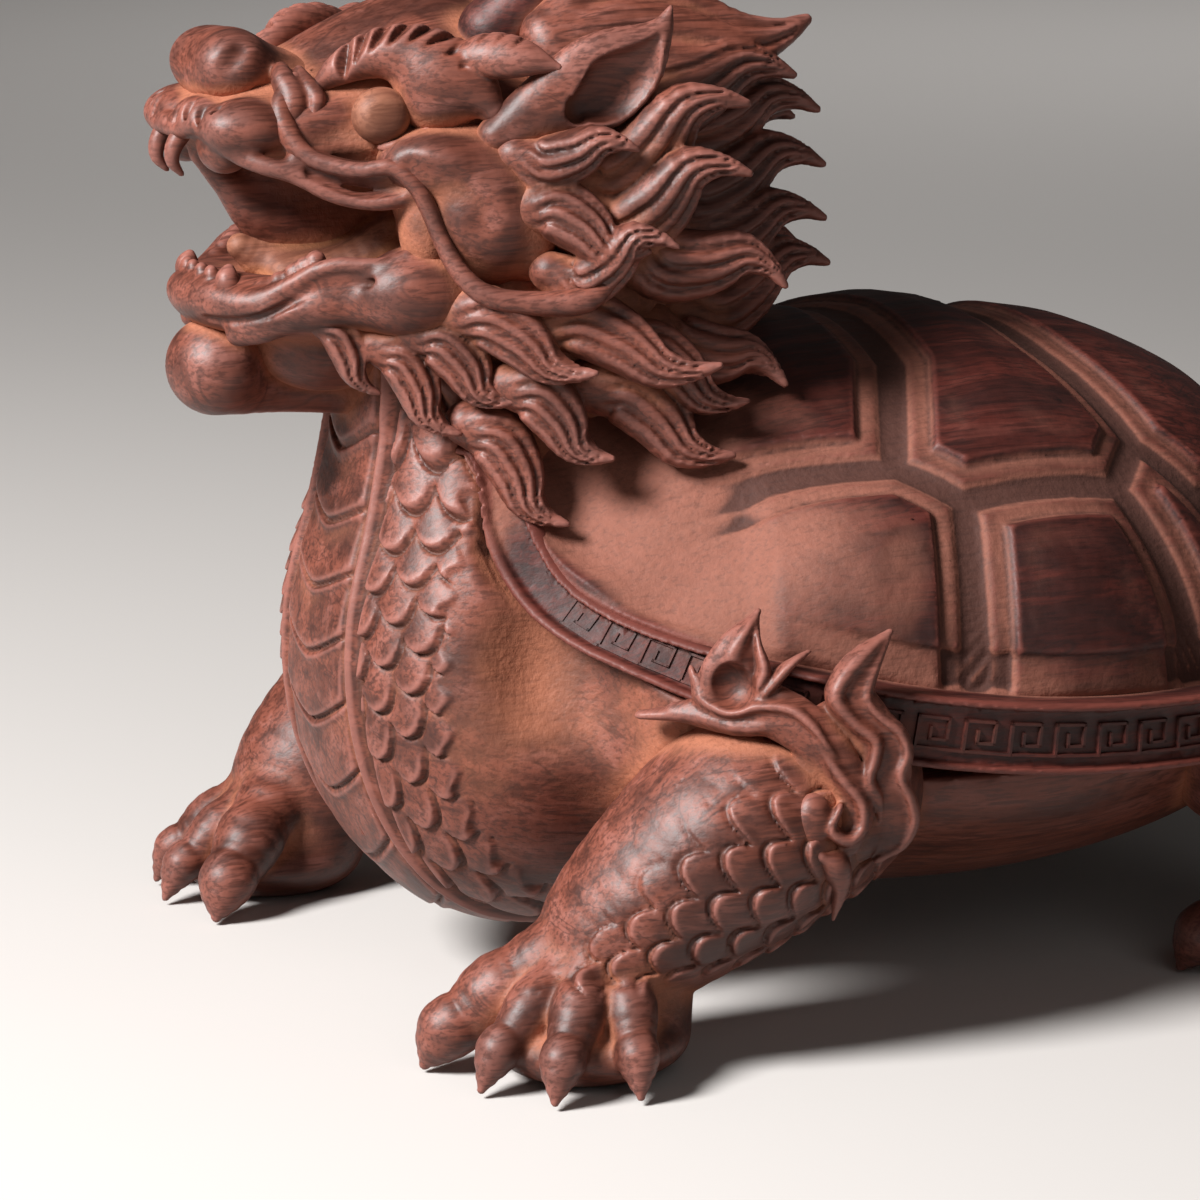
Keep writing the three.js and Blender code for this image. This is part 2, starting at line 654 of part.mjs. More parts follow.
// The dowels go first, so that every block they cross is bored for them.
const neckDowelAt = [0, NECK_Y + 2, HEAD_Z - CRANIUM_HALF_HEIGHT];
place("joinery", "neck_dowel", (g) => dowel(neckDowelAt, Z_AXIS, NECK_DOWEL_LENGTH, g), DOWEL_BIRCH, DOWEL_LOOK);
onBothSides((word, side) => {
  const legDowel = (y) => (g) => dowel([side * 0.78 * BELLY_HALF_WIDTH, y, RIM_BOTTOM_Z - 4.5], X_AXIS, LEG_DOWEL_LENGTH, g);
  place("joinery", `front_leg_dowel_${word}`, legDowel(SHOULDER_Y - 1), DOWEL_BIRCH, DOWEL_LOOK);
  place("joinery", `hind_leg_dowel_${word}`, legDowel(HIP_Y), DOWEL_BIRCH, DOWEL_LOOK);
});
const tailDowelAt = [0, BELLY_HALF_LENGTH - 3, RIM_BOTTOM_Z - 5];
const BACKWARD = new THREE.Vector3(0, 1, 0);
place("joinery", "tail_dowel", (g) => dowel(tailDowelAt, BACKWARD, TAIL_DOWEL_LENGTH, g), DOWEL_BIRCH, DOWEL_LOOK);

place("head", "skull", skullShape, ROSEWOOD);
place("body", "chest", chestShape, ROSEWOOD);
place("shell", "carapace", carapaceShape, POLISHED, { roughness: 0.4 });
place("shell", "rim_band", rimBandShape, POLISHED, { roughness: 0.4 });
place("body", "underbody", underbodyShape, ROSEWOOD);

place("head", "nose", noseShape, ROSEWOOD);
onBothSides((word, side) => place("head", `eye_${word}`, eyeShape(side), BARE));
onBothSides((word, side) => place("head", `brow_${word}`, browShape(side), ROSEWOOD));
onBothSides((word, side) => place("head", `cheek_${word}`, cheekShape(side), ROSEWOOD));
place("head", "lower_jaw", lowerJawShape, ROSEWOOD);
place("head", "tongue", tongueShape, BARE);
place("head", "chin_boss", chinBossShape, ROSEWOOD);
onBothSides((word, side) => place("head", `whisker_${word}`, whiskerShape(side), POLISHED));
onBothSides((word, side) => {
  place("head", `upper_fang_${word}`, fangShape(side, false), ROSEWOOD);
  place("head", `lower_fang_${word}`, fangShape(side, true), ROSEWOOD);
});
onBothSides((word, side) => place("head", `horn_${word}`, hornShape(side), POLISHED));
onBothSides((word, side) => place("head", `ear_${word}`, earShape(side), ROSEWOOD));

place("mane", "mane_core", maneCoreShape, ROSEWOOD);
for (const [name, locks] of Object.entries(TUFTS)) {
  onBothSides((word, side) => place("mane", `${name}_${word}`, tuftShape(side, locks), ROSEWOOD));
}

for (const [name, locks] of Object.entries(MIDDLE_TUFTS)) {
  place("mane", name, tuftShape(1, locks), ROSEWOOD);
}

onBothSides((word, side) => {
  place("legs", `front_leg_${word}`, frontLegShape(side), ROSEWOOD);
  place("legs", `hind_leg_${word}`, hindLegShape(side), ROSEWOOD);
});
onBothSides((word, side) => {
  const outside = SHELL_HALF_WIDTH - 2;
  place("legs", `shoulder_flame_${word}`, flameShape(side, [outside, SHOULDER_Y, RIM_MID_Z + 4], 1), ROSEWOOD);
  place("legs", `hip_flame_${word}`, flameShape(side, [outside - 1, HIP_Y + 2, RIM_MID_Z + 1], 0.8), ROSEWOOD);
});
place("body", "tail", tailShape, ROSEWOOD);

// The figure stands on the floor, with its middle over the origin.
const bounds = new THREE.Box3().setFromObject(figure);
const middle = bounds.getCenter(new THREE.Vector3());
figure.position.set(-middle.x, -middle.y, -bounds.min.z);

const part = new THREE.Group();
part.add(figure);

export default part;
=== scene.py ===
import math

import bpy
import numpy as np
import openvdb
from mathutils import Matrix, Vector


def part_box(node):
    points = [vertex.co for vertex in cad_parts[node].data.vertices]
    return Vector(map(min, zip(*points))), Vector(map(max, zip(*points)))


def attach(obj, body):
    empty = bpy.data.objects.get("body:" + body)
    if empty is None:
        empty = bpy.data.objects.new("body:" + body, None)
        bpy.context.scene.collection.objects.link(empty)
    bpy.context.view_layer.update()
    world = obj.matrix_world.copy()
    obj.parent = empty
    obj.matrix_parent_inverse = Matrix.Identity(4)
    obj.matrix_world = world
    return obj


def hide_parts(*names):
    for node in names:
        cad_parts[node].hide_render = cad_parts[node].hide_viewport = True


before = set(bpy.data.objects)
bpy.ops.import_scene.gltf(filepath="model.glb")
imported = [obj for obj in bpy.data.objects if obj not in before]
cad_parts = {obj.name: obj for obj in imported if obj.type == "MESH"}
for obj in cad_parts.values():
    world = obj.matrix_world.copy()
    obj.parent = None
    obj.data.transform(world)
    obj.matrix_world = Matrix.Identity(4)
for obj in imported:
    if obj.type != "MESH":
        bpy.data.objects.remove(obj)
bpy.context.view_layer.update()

# Underbody
# The turtle's belly: one plain block of rosewood, rounded with a gouge and scraped smooth.
# It is glued under the flat seat of the shell, with the legs dowelled into its flanks.
MM = 0.001
FAR = 4.0  # mm, where distances on a sculpting grid stop counting
REACH = 2.0  # mm of grid that a cut or an added form changes around itself
WIDE = 300.0  # mm, further than any block reaches
SHELL_REAR = 55.0  # mm from the shell's centre to the back of its rim
ROUGHING = 1.0
FIGURE_AT = np.array([0.0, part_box("rim_band")[1].y / MM - SHELL_REAR, 0.0])


def smooth_min(a, b, soft):
    if soft <= 0:
        return np.minimum(a, b)
    blend = np.clip(1 - np.abs(a - b) / soft, 0, 1)
    return np.minimum(a, b) - blend * blend * soft / 4


def smoothstep(low, high, value):
    share = np.clip((value - low) / (high - low), 0, 1)
    return share * share * (3 - 2 * share)


class Block:
    """A block of wood on a sculpting grid. Each grid point holds its distance to the surface, in mm."""

    def __init__(self, low, high, step):
        self.step = step * ROUGHING
        self.low = np.array(low, np.float32)
        count = np.ceil((np.array(high) - self.low) / self.step).astype(int) + 1
        self.field = np.full(count, FAR, np.float32)

    def points(self, low, high):
        count = np.array(self.field.shape)
        first = np.clip(np.floor((np.array(low) - self.low) / self.step).astype(int), 0, count - 1)
        last = np.clip(np.ceil((np.array(high) - self.low) / self.step).astype(int) + 1, 1, count)
        axes = [self.low[k] + self.step * np.arange(first[k], last[k], dtype=np.float32) for k in range(3)]
        return tuple(map(slice, first, last)), np.meshgrid(*axes, indexing="ij", sparse=True)

    def add(self, form, soft=0.0):
        low, high, distance = form
        part, xyz = self.points(low - REACH - soft, high + REACH + soft)
        self.field[part] = smooth_min(self.field[part], distance(*xyz), soft)
        return self

    def cut(self, form, soft=0.0):
        low, high, distance = form
        part, xyz = self.points(low - REACH - soft, high + REACH + soft)
        self.field[part] = -smooth_min(-self.field[part], distance(*xyz), soft)
        return self

    def emboss(self, relief, band=1.6):
        """Raises the surface by relief(x, y, z) mm, and sinks it where that is negative."""
        near = np.nonzero(np.abs(self.field) < band)
        spots = [self.low[k] + self.step * near[k].astype(np.float32) for k in range(3)]
        self.field[near] -= relief(*spots)
        return self

    def mirrored(self):
        """The whole of a block that was carved on its left half only, from the middle plane outwards."""
        self.field = np.concatenate([self.field[:0:-1], self.field])
        self.low = self.low * np.array([0, 1, 1], np.float32)
        self.low[0] = -self.step * (self.field.shape[0] // 2)
        return self


def ball(centre, radii):
    c = np.array(centre, np.float32)
    r = np.array(radii, np.float32)

    def distance(x, y, z):
        p, q, s = (x - c[0]) / r[0], (y - c[1]) / r[1], (z - c[2]) / r[2]
        k0 = np.sqrt(p * p + q * q + s * s)
        k1 = np.sqrt((p / r[0]) ** 2 + (q / r[1]) ** 2 + (s / r[2]) ** 2)
        return k0 * (k0 - 1) / np.maximum(k1, 1e-5)

    return c - r, c + r, distance


def below(level):
    """Everything under a level."""
    low = np.array([-WIDE, -WIDE, -WIDE])
    return low, np.array([WIDE, WIDE, level]), lambda x, y, z: z - level + 0 * (x + y)


def above(level):
    """Everything over a level."""
    high = np.array([WIDE, WIDE, WIDE])
    return np.array([-WIDE, -WIDE, level]), high, lambda x, y, z: level - z + 0 * (x + y)


def hex_colour(text):
    """Linear RGBA from an sRGB hex value."""
    parts = [int(text[i : i + 2], 16) / 255 for i in (1, 3, 5)]
    return [c / 12.92 if c <= 0.04045 else ((c + 0.055) / 1.055) ** 2.4 for c in parts] + [1.0]


def add_node(tree, kind, inputs=None, **settings):
    """One node with its settings. Each of its inputs is given a value, or a socket that is linked to it."""
    node = tree.nodes.new(kind)
    for name, value in settings.items():
        setattr(node, name, value)
    for key, value in (inputs or {}).items():
        if isinstance(value, bpy.types.NodeSocket):
            tree.links.new(value, node.inputs[key])
        else:
            node.inputs[key].default_value = value
    return node


# Size in mm, detail and swirl of each pattern in the wood. The fibres are as coarse as it takes to show.
GRAIN_PATTERNS = {
    "patches": (13, 3, 1.0),
    "streaks": (2.6, 4, 0.6),
    "veins": (8, 3, 1.2),
    "fibres": (0.4, 2, 0.0),
}
TOOL_PATTERNS = {"blotches": (9, 3, 0.3), "ripples": (2.2, 1, 0.0), "ground": (0.7, 3, 0.0)}
PATTERN_ROUGHNESS = 0.6
GRAIN_TURN = (0.2, 0.0, 0.12)  # how the grain lies askew in the figure, in radians
GRAIN_STRETCH = 0.08  # the patterns are drawn out along the grain by one over this


def rosewood(name, dark, body, light, dust_and_bounce_tint, gloss_loss, tooling):
    """Oiled rosewood, cut across its grain by the carving: dark patches, streaks and thin veins along the
    grain, fine fibres, high places and sharp edges that hands have worn pale and that carry a painted
    highlight, painted shade in the tool cuts, and dry dust in the hollows with painted bounce light."""
    material = bpy.data.materials.new(name)
    material.use_nodes = True
    tree = material.node_tree
    tree.nodes.clear()
    place = add_node(tree, "ShaderNodeTexCoord").outputs["Object"]
    turn = {"Vector": place, "Rotation": GRAIN_TURN, "Scale": (1, GRAIN_STRETCH, 1)}
    along = add_node(tree, "ShaderNodeMapping", turn).outputs["Vector"]
    marks = {}
    for patterns, where in ((GRAIN_PATTERNS, along), (TOOL_PATTERNS, place)):
        for pattern, (size, detail, swirl) in patterns.items():
            setting = {"Vector": where, "Scale": 1 / (size * MM), "Detail": detail, "Distortion": swirl}
            setting["Roughness"] = PATTERN_ROUGHNESS
            marks[pattern] = add_node(tree, "ShaderNodeTexNoise", setting).outputs["Fac"]
    for measure in ("hollow", "groove"):
        marks[measure] = add_node(tree, "ShaderNodeAttribute", attribute_name=measure).outputs["Fac"]
    middle = {0: marks["veins"], 1: 0.5}
    off_middle = add_node(tree, "ShaderNodeMath", middle, operation="SUBTRACT").outputs[0]
    marks["veins"] = add_node(tree, "ShaderNodeMath", {0: off_middle}, operation="ABSOLUTE").outputs[0]
    # Dust and painted bounce light gather in the hollows, unevenly by blotches.
    uneven = {0: marks["blotches"], 1: 0.7, 2: marks["hollow"]}
    marks["dust_and_bounce"] = add_node(tree, "ShaderNodeMath", uneven, operation="MULTIPLY_ADD").outputs[0]

    # Each coat of colour: the mark that it follows, where that starts and ends, its most, and its colour.
    coats = [
        ("patches", 0.46, 0.66, 0.75, dark),
        ("streaks", 0.54, 0.34, 0.65, dark),
        ("streaks", 0.52, 0.7, 0.45, light),
        ("veins", 0.02, 0.0, 0.6, dark),
        # Painted highlight with hand wear: high, convex places are paler.
        ("hollow", -0.25, -1.0, 0.4, light),
        ("fibres", 0.56, 0.36, 0.5, dark),
        # Dust in the hollows, partly painted bounce light: paler orange there.
        ("dust_and_bounce", 0.3, 0.95, 0.85, dust_and_bounce_tint),
        ("fibres", 0.5, 0.3, 0.22, dark),
        ("ground", 0.6, 0.4, 0.1, dark),
        # Painted highlight with edge wear: sharp ridges are paler.
        ("groove", -0.04, -0.22, 0.6, light),
        # Painted shade: fine cuts and creases are darker, as where shade falls.
        ("groove", 0.06, 0.26, 0.75, dark),
    ]
    colour = hex_colour(body)
    for mark, start, end, most, tint in coats:
        reach = {"Value": marks[mark], "From Min": start, "From Max": end, "To Max": most}
        share = add_node(tree, "ShaderNodeMapRange", reach, interpolation_type="SMOOTHSTEP").outputs["Result"]
        coat = {"Factor": share, 6: colour, 7: hex_colour(tint)}
        colour = add_node(tree, "ShaderNodeMix", coat, data_type="RGBA").outputs[2]

    # The same mask of dust and painted bounce light also makes the surface rougher and more tooled.
    reach = {"Value": marks["dust_and_bounce"], "From Min": 0.2, "From Max": 1.0}
    dry_and_lit = add_node(tree, "ShaderNodeMapRange", reach).outputs["Result"]
    rough = gloss_loss
    for mark, share in ((dry_and_lit, 0.25), (marks["fibres"], 0.14)):
        more = {0: mark, 1: share, 2: rough}
        rough = add_node(tree, "ShaderNodeMath", more, operation="MULTIPLY_ADD").outputs[0]
    tooled = {0: dry_and_lit, 1: tooling, 2: 0.25}
    tooled = add_node(tree, "ShaderNodeMath", tooled, operation="MULTIPLY_ADD").outputs[0]
    pitted = {0: tooled, 1: marks["ground"]}
    height = add_node(tree, "ShaderNodeMath", pitted, operation="MULTIPLY").outputs[0]
    for mark, share in (("fibres", 0.5), ("ripples", 1.6)):
        more = {0: marks[mark], 1: share, 2: height}
        height = add_node(tree, "ShaderNodeMath", more, operation="MULTIPLY_ADD").outputs[0]
    feel = {"Height": height, "Strength": 0.4, "Distance": 0.15 * MM}
    bump = add_node(tree, "ShaderNodeBump", feel).outputs["Normal"]
    skin = {"Base Color": colour, "Roughness": rough, "Normal": bump, "IOR": 1.46}
    surface = add_node(tree, "ShaderNodeBsdfPrincipled", skin).outputs["BSDF"]
    add_node(tree, "ShaderNodeOutputMaterial", {"Surface": surface})
    return material


# Carved wood is warm red-brown with paler dust and painted bounce light in its hollows. Polished wood is
# darker, with fewer tool marks. Bare wood, straight from the tool, is pale and dull. Each has its four
# colours, then how little it shines and how much its tool marks stand out. The dark colour also paints shade
# in the cuts, the light one painted highlights on high places and edges, and the dust colour painted bounce
# light in the hollows.
carved_rosewood = rosewood("oiled_carved_rosewood", "#35170f", "#7a4233", "#986156", "#a5654a", 0.42, 2.5)
polished_rosewood = rosewood("polished_rosewood", "#210b08", "#4f1d15", "#763c32", "#8d5746", 0.47, 1.5)
bare_rosewood = rosewood("bare_tooled_rosewood", "#5f3424", "#8a5540", "#9a664e", "#9a6140", 0.55, 3.5)

carvings = []  # every carved piece with the block that it was sculpted in


def carve_out(node, block, material=carved_rosewood, flipped=False):
    """Turns a sculpted block into a mesh piece that stands for its CAD node. Where the surface is nearly flat
    its faces are merged, and a piece with too many of them is thinned."""
    name = f"{node}_carving"
    MERGING = 0.004
    MOST_TRIANGLES = 194000
    grid = openvdb.FloatGrid(FAR)
    grid.copyFromArray(np.clip(block.field, -FAR, FAR))
    points, triangles, quads = grid.convertToPolygons(0.0, MERGING)
    spots = block.low + points * block.step
    if flipped:
        spots[:, 0] *= -1
        triangles, quads = triangles[:, ::-1], quads[:, ::-1]
    corners = np.concatenate([triangles.ravel(), quads.ravel()]).astype(np.int32)
    starts = np.concatenate([3 * np.arange(len(triangles)), triangles.size + 4 * np.arange(len(quads))])
    mesh = bpy.data.meshes.new(name)
    mesh.vertices.add(len(spots))
    mesh.loops.add(len(corners))
    mesh.polygons.add(len(starts))
    mesh.vertices.foreach_set("co", ((spots + FIGURE_AT) * MM).astype(np.float32).ravel())
    mesh.loops.foreach_set("vertex_index", corners)
    mesh.polygons.foreach_set("loop_start", starts.astype(np.int32))
    mesh.update(calc_edges=True)
    mesh.shade_smooth()
    piece = bpy.data.objects.new(name, mesh)
    bpy.context.scene.collection.objects.link(piece)
    count = len(triangles) + 2 * len(quads)
    if count > MOST_TRIANGLES:
        thinning = piece.modifiers.new("thinning", "DECIMATE")
        thinning.ratio = MOST_TRIANGLES / count
        thinning.use_collapse_triangulate = True
        thinned = piece.evaluated_get(bpy.context.evaluated_depsgraph_get())
        piece.data = bpy.data.meshes.new_from_object(thinned)
        piece.modifiers.clear()
    piece.data.materials.append(material)
    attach(piece, "root")
    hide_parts(node)
    carvings.append((piece, block, flipped))


def carve_pair(name, block, material=carved_rosewood):
    """A left piece, and a right one that mirrors it."""
    for word, flipped in (("left", False), ("right", True)):
        carve_out(f"{name}_{word}", block, material, flipped)


belly = Block([0, -52, 4], [42, 52, 30], 0.6)
belly.add(ball([0, 0, 25.5], [38, 47, 18]))
belly.cut(above(25.2))
carve_out("underbody", belly.mirrored())

# Carapace
# The domed back: one thick block of rosewood, turned up at the front into a collar behind the neck.
# Its shields are cut with stepped banks and a fine V-groove, then scraped and waxed.
RIM_WIDTH = 47.0
RIM_MID = 29.0
RIM_HALF = 3.5
STRETCH = SHELL_REAR / RIM_WIDTH
DOME_FOOT = 43.4
SADDLE_EDGE = 1.9  # mm that the shell stands over the band at the collar
DOME_BASE = RIM_MID + RIM_HALF - 0.9  # the rim stands this little above the dome's foot
DOME_RISE = 34.9
SEAT = RIM_MID - RIM_HALF + 0.3
COLLAR_TOP = 29.5  # how far the rim climbs to the neck
COLLAR_THIN = 1.5  # how much lower half the band is on the collar
# Grooves on the left half, in plan: round the middle shields first, then from those to the rim.
SHIELD_SEAMS = [
    [(27.2, -28), (30.5, -12.8), (34.9, -7.3), (33.9, 10.6), (28.8, 15.5), (32, 21), (29, 34),
     (16, 39.5), (0, 40.5)],
    [(30.5, -12.8), (17, -6.2), (0, -4)],
    [(28.8, 15.5), (15, 12), (0, 11)],
    [(23, -38), (27.2, -28)],
    [(34.9, -7.3), (41.6, -9.6), (47, -11)],
    [(33.9, 10.6), (40.2, 15), (47, 19)],
    [(32, 21), (40, 32)],
    [(29, 34), (31, 44)],
    [(16, 39.5), (13, 54)],
]


def shell_plan(x, y):
    """A place in the shell's plan: its oval radius, how squarely it lies ahead, how far the rim climbs there,
    and 1 on the collar or 0 off it."""
    oval = np.sqrt(x * x + (y / STRETCH) ** 2)
    ahead = 0.5 - 0.5 * (y / STRETCH) / np.maximum(oval, 1e-3)
    climb = smooth_min(17 * ahead**4 + 100 * ahead**60, COLLAR_TOP, 4)
    return oval, ahead, climb, smoothstep(0.7, 0.9, ahead)


def dome_form(x, y):
    """The dome's squared share of its oval, how far it turns up to the collar, and how blunt its edge is."""
    oval, _, climb, collar = shell_plan(x, y)
    share = oval / (DOME_FOOT + 1.4 * collar)
    lift = (climb - (COLLAR_THIN - SADDLE_EDGE) * collar) * np.minimum(share, 1.03) ** 5
    return share**2, lift, 2 - 0.9 * collar * smoothstep(0.72, 0.95, share)


def dome(x, y, z):
    plan, lift, power = dome_form(x, y)
    over = z - lift - DOME_BASE
    rise = np.maximum(over, 0) / DOME_RISE
    undercut = 1 + 0.04 * np.maximum(-over, 0)
    size = np.sqrt(plan * undercut**2 + rise**power)
    across, along = x / DOME_FOOT**2, y / (DOME_FOOT * STRETCH) ** 2
    slope = np.sqrt(across**2 + along**2 + (rise / DOME_RISE) ** 2)
    return np.maximum(size * (size - 1) / np.maximum(slope, 1e-5), SEAT + lift - z)


def on_dome(x, y):
    plan, lift, power = dome_form(x, y)
    return DOME_BASE + lift + DOME_RISE * np.maximum(1 - plan, 0) ** (1 / power)


def from_segment(x, y, z, a, b):
    """For each place the share of a segment that is nearest to it, and the way from there to the place."""
    way = b[:3] - a[:3]
    px, py, pz = x - a[0], y - a[1], z - a[2]
    share = np.clip((px * way[0] + py * way[1] + pz * way[2]) / max(way @ way, 1e-6), 0, 1)
    return share, px - share * way[0], py - share * way[1], pz - share * way[2]


def from_seams(x, y, z):
    """Distance to the nearest shield seam, measured over the dome."""
    PIECES = 6
    nearest = np.full(x.shape, 99.0, np.float32)
    for seam in SHIELD_SEAMS:
        for (ax, ay), (bx, by) in zip(seam, seam[1:]):
            shares = np.linspace(0, 1, PIECES + 1)
            px, py = ax + shares * (bx - ax), ay + shares * (by - ay)
            line = np.stack([px, py, on_dome(px, py)], 1)
            for a, b in zip(line, line[1:]):
                dx, dy, dz = from_segment(x, y, z, a, b)[1:]
                nearest = np.minimum(nearest, dx * dx + dy * dy + dz * dz)
    return np.sqrt(nearest)


def shield_relief(x, y, z):
    """The shields' pillows, the steps down to their seams, a ledge at the foot and the saddle ahead."""
    gap = from_seams(x, y, z)
    banks = 0.8 * smoothstep(4.2, 3.5, gap) + 0.65 * smoothstep(2.2, 1.6, gap)
    steps = banks + 0.7 * smoothstep(0.8, 0.0, gap)
    pillow = 0.6 * smoothstep(3.5, 12, gap)
    foot = z - dome_form(x, y)[1] - DOME_BASE
    ledge = 0.5 * smoothstep(5.5, 4.6, foot)
    fading = smoothstep(-38, -22, y)
    saddle = smoothstep(1.5, -2.5, y + 27 + 0.3 * (x - 30)) * smoothstep(24, 29, x)
    relief = fading * (pillow - steps) - ledge * smoothstep(-30, -15, y) - saddle
    return smoothstep(0.2, 2.0, foot) * relief - 0.5 * smoothstep(1.6, 0.4, foot)


shell = Block([0, -56, 22], [46, 56, 70], 0.3)
shell.add((np.array([0, -54, 24.0]), np.array([44, 52, 68.0]), dome))
shell.emboss(shield_relief)
carve_out("carapace", shell.mirrored(), polished_rosewood)

# Rim band
# A band of polished rosewood, glued round the shell's edge, that climbs to the neck as a collar and
# leans back there. Its outer face is a hollow channel between a lower lip and an upper edge.
COLLAR_LEAN = 0.7  # mm inwards for each mm up
CHANNEL_DEPTH = 1.0
CHANNEL_EDGE = 0.75  # mm of the band that is left above the channel, and below it


def rim_section(x, y, z):
    """Places across the band, in mm: out from its leaning face, up from its middle, half its height there,
    and out from it without the lean."""
    oval, ahead, climb, collar = shell_plan(x, y)
    spread = np.maximum(np.sqrt(x * x + (y / STRETCH**2) ** 2) / np.maximum(oval, 1e-3), 0.3)
    turning = np.sqrt(np.maximum(4 * ahead * (1 - ahead), 0))
    steep = (34 * ahead**3 + 3000 * ahead**59) * turning / RIM_WIDTH
    steep = steep * smoothstep(COLLAR_TOP + 1, COLLAR_TOP - 5, climb)
    up = (z - RIM_MID - climb) / np.sqrt(1 + steep**2)
    half = RIM_HALF - COLLAR_THIN * collar
    out = (oval - RIM_WIDTH) / spread + COLLAR_LEAN * collar * (up + half)
    return out, up, half, (oval - RIM_WIDTH) / spread


def rim(x, y, z):
    ROUNDING = 0.65
    INWARDS = 4.6  # mm from the band's outer face to its inner one
    out, up, half, straight_out = rim_section(x, y, z)
    wide = np.maximum(out, -INWARDS - straight_out) + ROUNDING
    tall = np.abs(up) - half + ROUNDING
    outside = np.hypot(np.maximum(wide, 0), np.maximum(tall, 0))
    return outside + np.minimum(np.maximum(wide, tall), 0) - ROUNDING


def rim_channel(x, y, z):
    out, up, half = rim_section(x, y, z)[:3]
    return np.maximum(np.abs(up) - half + CHANNEL_EDGE, -CHANNEL_DEPTH - out)


def above_lip(x, y, z):
    """Places over the band's lower lip, where only the band, the shell and the neck are."""
    up, half = rim_section(x, y, z)[1:3]
    beside_neck = 60 * (shell_plan(x, y)[1] - 0.963)
    return np.maximum(-0.1 - half - up, beside_neck)


COLLAR_ROOM = (np.array([0, -80, 20.0]), np.array([60, 60, 90.0]))
RIM_ROOM = (np.array([0, -57, 24.0]), np.array([48, 57, 64.0]))
band = Block([0, -60, 20], [50, 60, 66], 0.29)
band.add((*RIM_ROOM, rim))
band.cut((*RIM_ROOM, rim_channel), 0.5)
carve_out("rim_band", band.mirrored(), polished_rosewood)

# Fret on the rim
# A square key fret in low relief, cut with a flat chisel from the same wood as the rim band. It runs
# along the band's channel from one side of the neck round the back to the other.
KEY_PITCH = 4.7
KEY_BAR = 0.5  # mm, width of a raised bar
KEY_BEVEL = 0.12
KEY_RELIEF = 0.4
KEY_ROOT = 0.5  # mm that a bar goes into the band
# The bars of one key, each from end to end, along the channel and up.
KEY_BARS = [
    ((-1.9, -1.6), (-1.9, 1.4)),
    ((-1.9, 1.4), (1.1, 1.4)),
    ((1.1, 1.4), (1.1, -0.7)),
    ((1.1, -0.7), (-0.6, -0.7)),
    ((-0.6, -0.7), (-0.6, 0.4)),
    ((-1.9, -1.6), (2.8, -1.6)),
]
# The faces of a box whose four lower corners come first.
BOX_FACES = ((0, 3, 2, 1), (4, 5, 6, 7), (0, 1, 5, 4), (1, 2, 6, 5), (2, 3, 7, 6), (3, 0, 4, 7))
KEY_SHRINK = 0.1  # share of its size that a key loses on the narrower collar


def key_unit():
    """One square key: raised bars on the X-Z plane, standing out along -Y."""
    corners, faces = [], []
    for (ax, az), (bx, bz) in KEY_BARS:
        half = KEY_BAR / 2
        x0, x1 = min(ax, bx) - half, max(ax, bx) + half
        z0, z1 = min(az, bz) - half, max(az, bz) + half
        first = len(corners)
        for depth, inset in ((KEY_ROOT, 0.0), (-KEY_RELIEF, KEY_BEVEL)):
            left, right, low, high = x0 + inset, x1 - inset, z0 + inset, z1 - inset
            for x, z in ((left, low), (right, low), (right, high), (left, high)):
                corners.append((x * MM, depth * MM, z * MM))
        faces += [[first + i for i in face] for face in BOX_FACES]
    mesh = bpy.data.meshes.new("fret_key")
    mesh.from_pydata(corners, [], faces)
    return mesh


def rim_spots():
    """Places for the keys along the channel, from the collar's left side round the back to its right side:
    where they are, the way along the channel, and 1 on the collar or 0 off it."""
    FIRST_ANGLE = 0.55  # radians from straight ahead
    angles = np.linspace(FIRST_ANGLE, 2 * math.pi - FIRST_ANGLE, 900)
    x, y = np.sin(angles), -STRETCH * np.cos(angles)
    climb, collar = shell_plan(RIM_WIDTH * x, RIM_WIDTH * y)[2:]
    radius = RIM_WIDTH - CHANNEL_DEPTH - COLLAR_LEAN * collar * (RIM_HALF - COLLAR_THIN * collar)
    line = np.stack([radius * x, radius * y, RIM_MID + climb], 1)
    steps = np.linalg.norm(np.diff(line, axis=0), axis=1) / (1 - KEY_SHRINK * collar[1:])
    length = np.concatenate([[0], np.cumsum(steps)])
    count = int(length[-1] / KEY_PITCH)
    even = (np.arange(count) + 0.5) * length[-1] / count
    spots = np.stack([np.interp(even, length, line[:, k]) for k in range(3)], 1)
    ways = np.stack([np.interp(even, length, np.gradient(line[:, k])) for k in range(3)], 1)
    return spots, ways / np.linalg.norm(ways, axis=1, keepdims=True), np.interp(even, length, collar)


spots, ways, collars = rim_spots()
seats = bpy.data.meshes.new("fret_seats")
seats.from_pydata([tuple((s + FIGURE_AT) * MM) for s in spots], [], [])
turns = []
for way, spot, collar in zip(ways, spots, collars):
    right = Vector(way)
    outward = Vector((spot[0], spot[1] / STRETCH**2, 0)).normalized()
    outward.z = COLLAR_LEAN * collar
    outward = (outward - right * outward.dot(right)).normalized()
    up = right.cross(-outward)
    turns.append(Matrix((right, -outward, up)).transposed().to_euler())
attribute = seats.attributes.new("turn", "FLOAT_VECTOR", "POINT")
attribute.data.foreach_set("vector", np.array([list(t) for t in turns], np.float32).ravel())
attribute = seats.attributes.new("collar", "FLOAT", "POINT")
attribute.data.foreach_set("value", collars.astype(np.float32))
key_object = bpy.data.objects.new("fret_key", key_unit())
fret = bpy.data.objects.new("rim_fret", seats)
bpy.context.scene.collection.objects.link(fret)
tree = bpy.data.node_groups.new("fret_along_rim", "GeometryNodeTree")
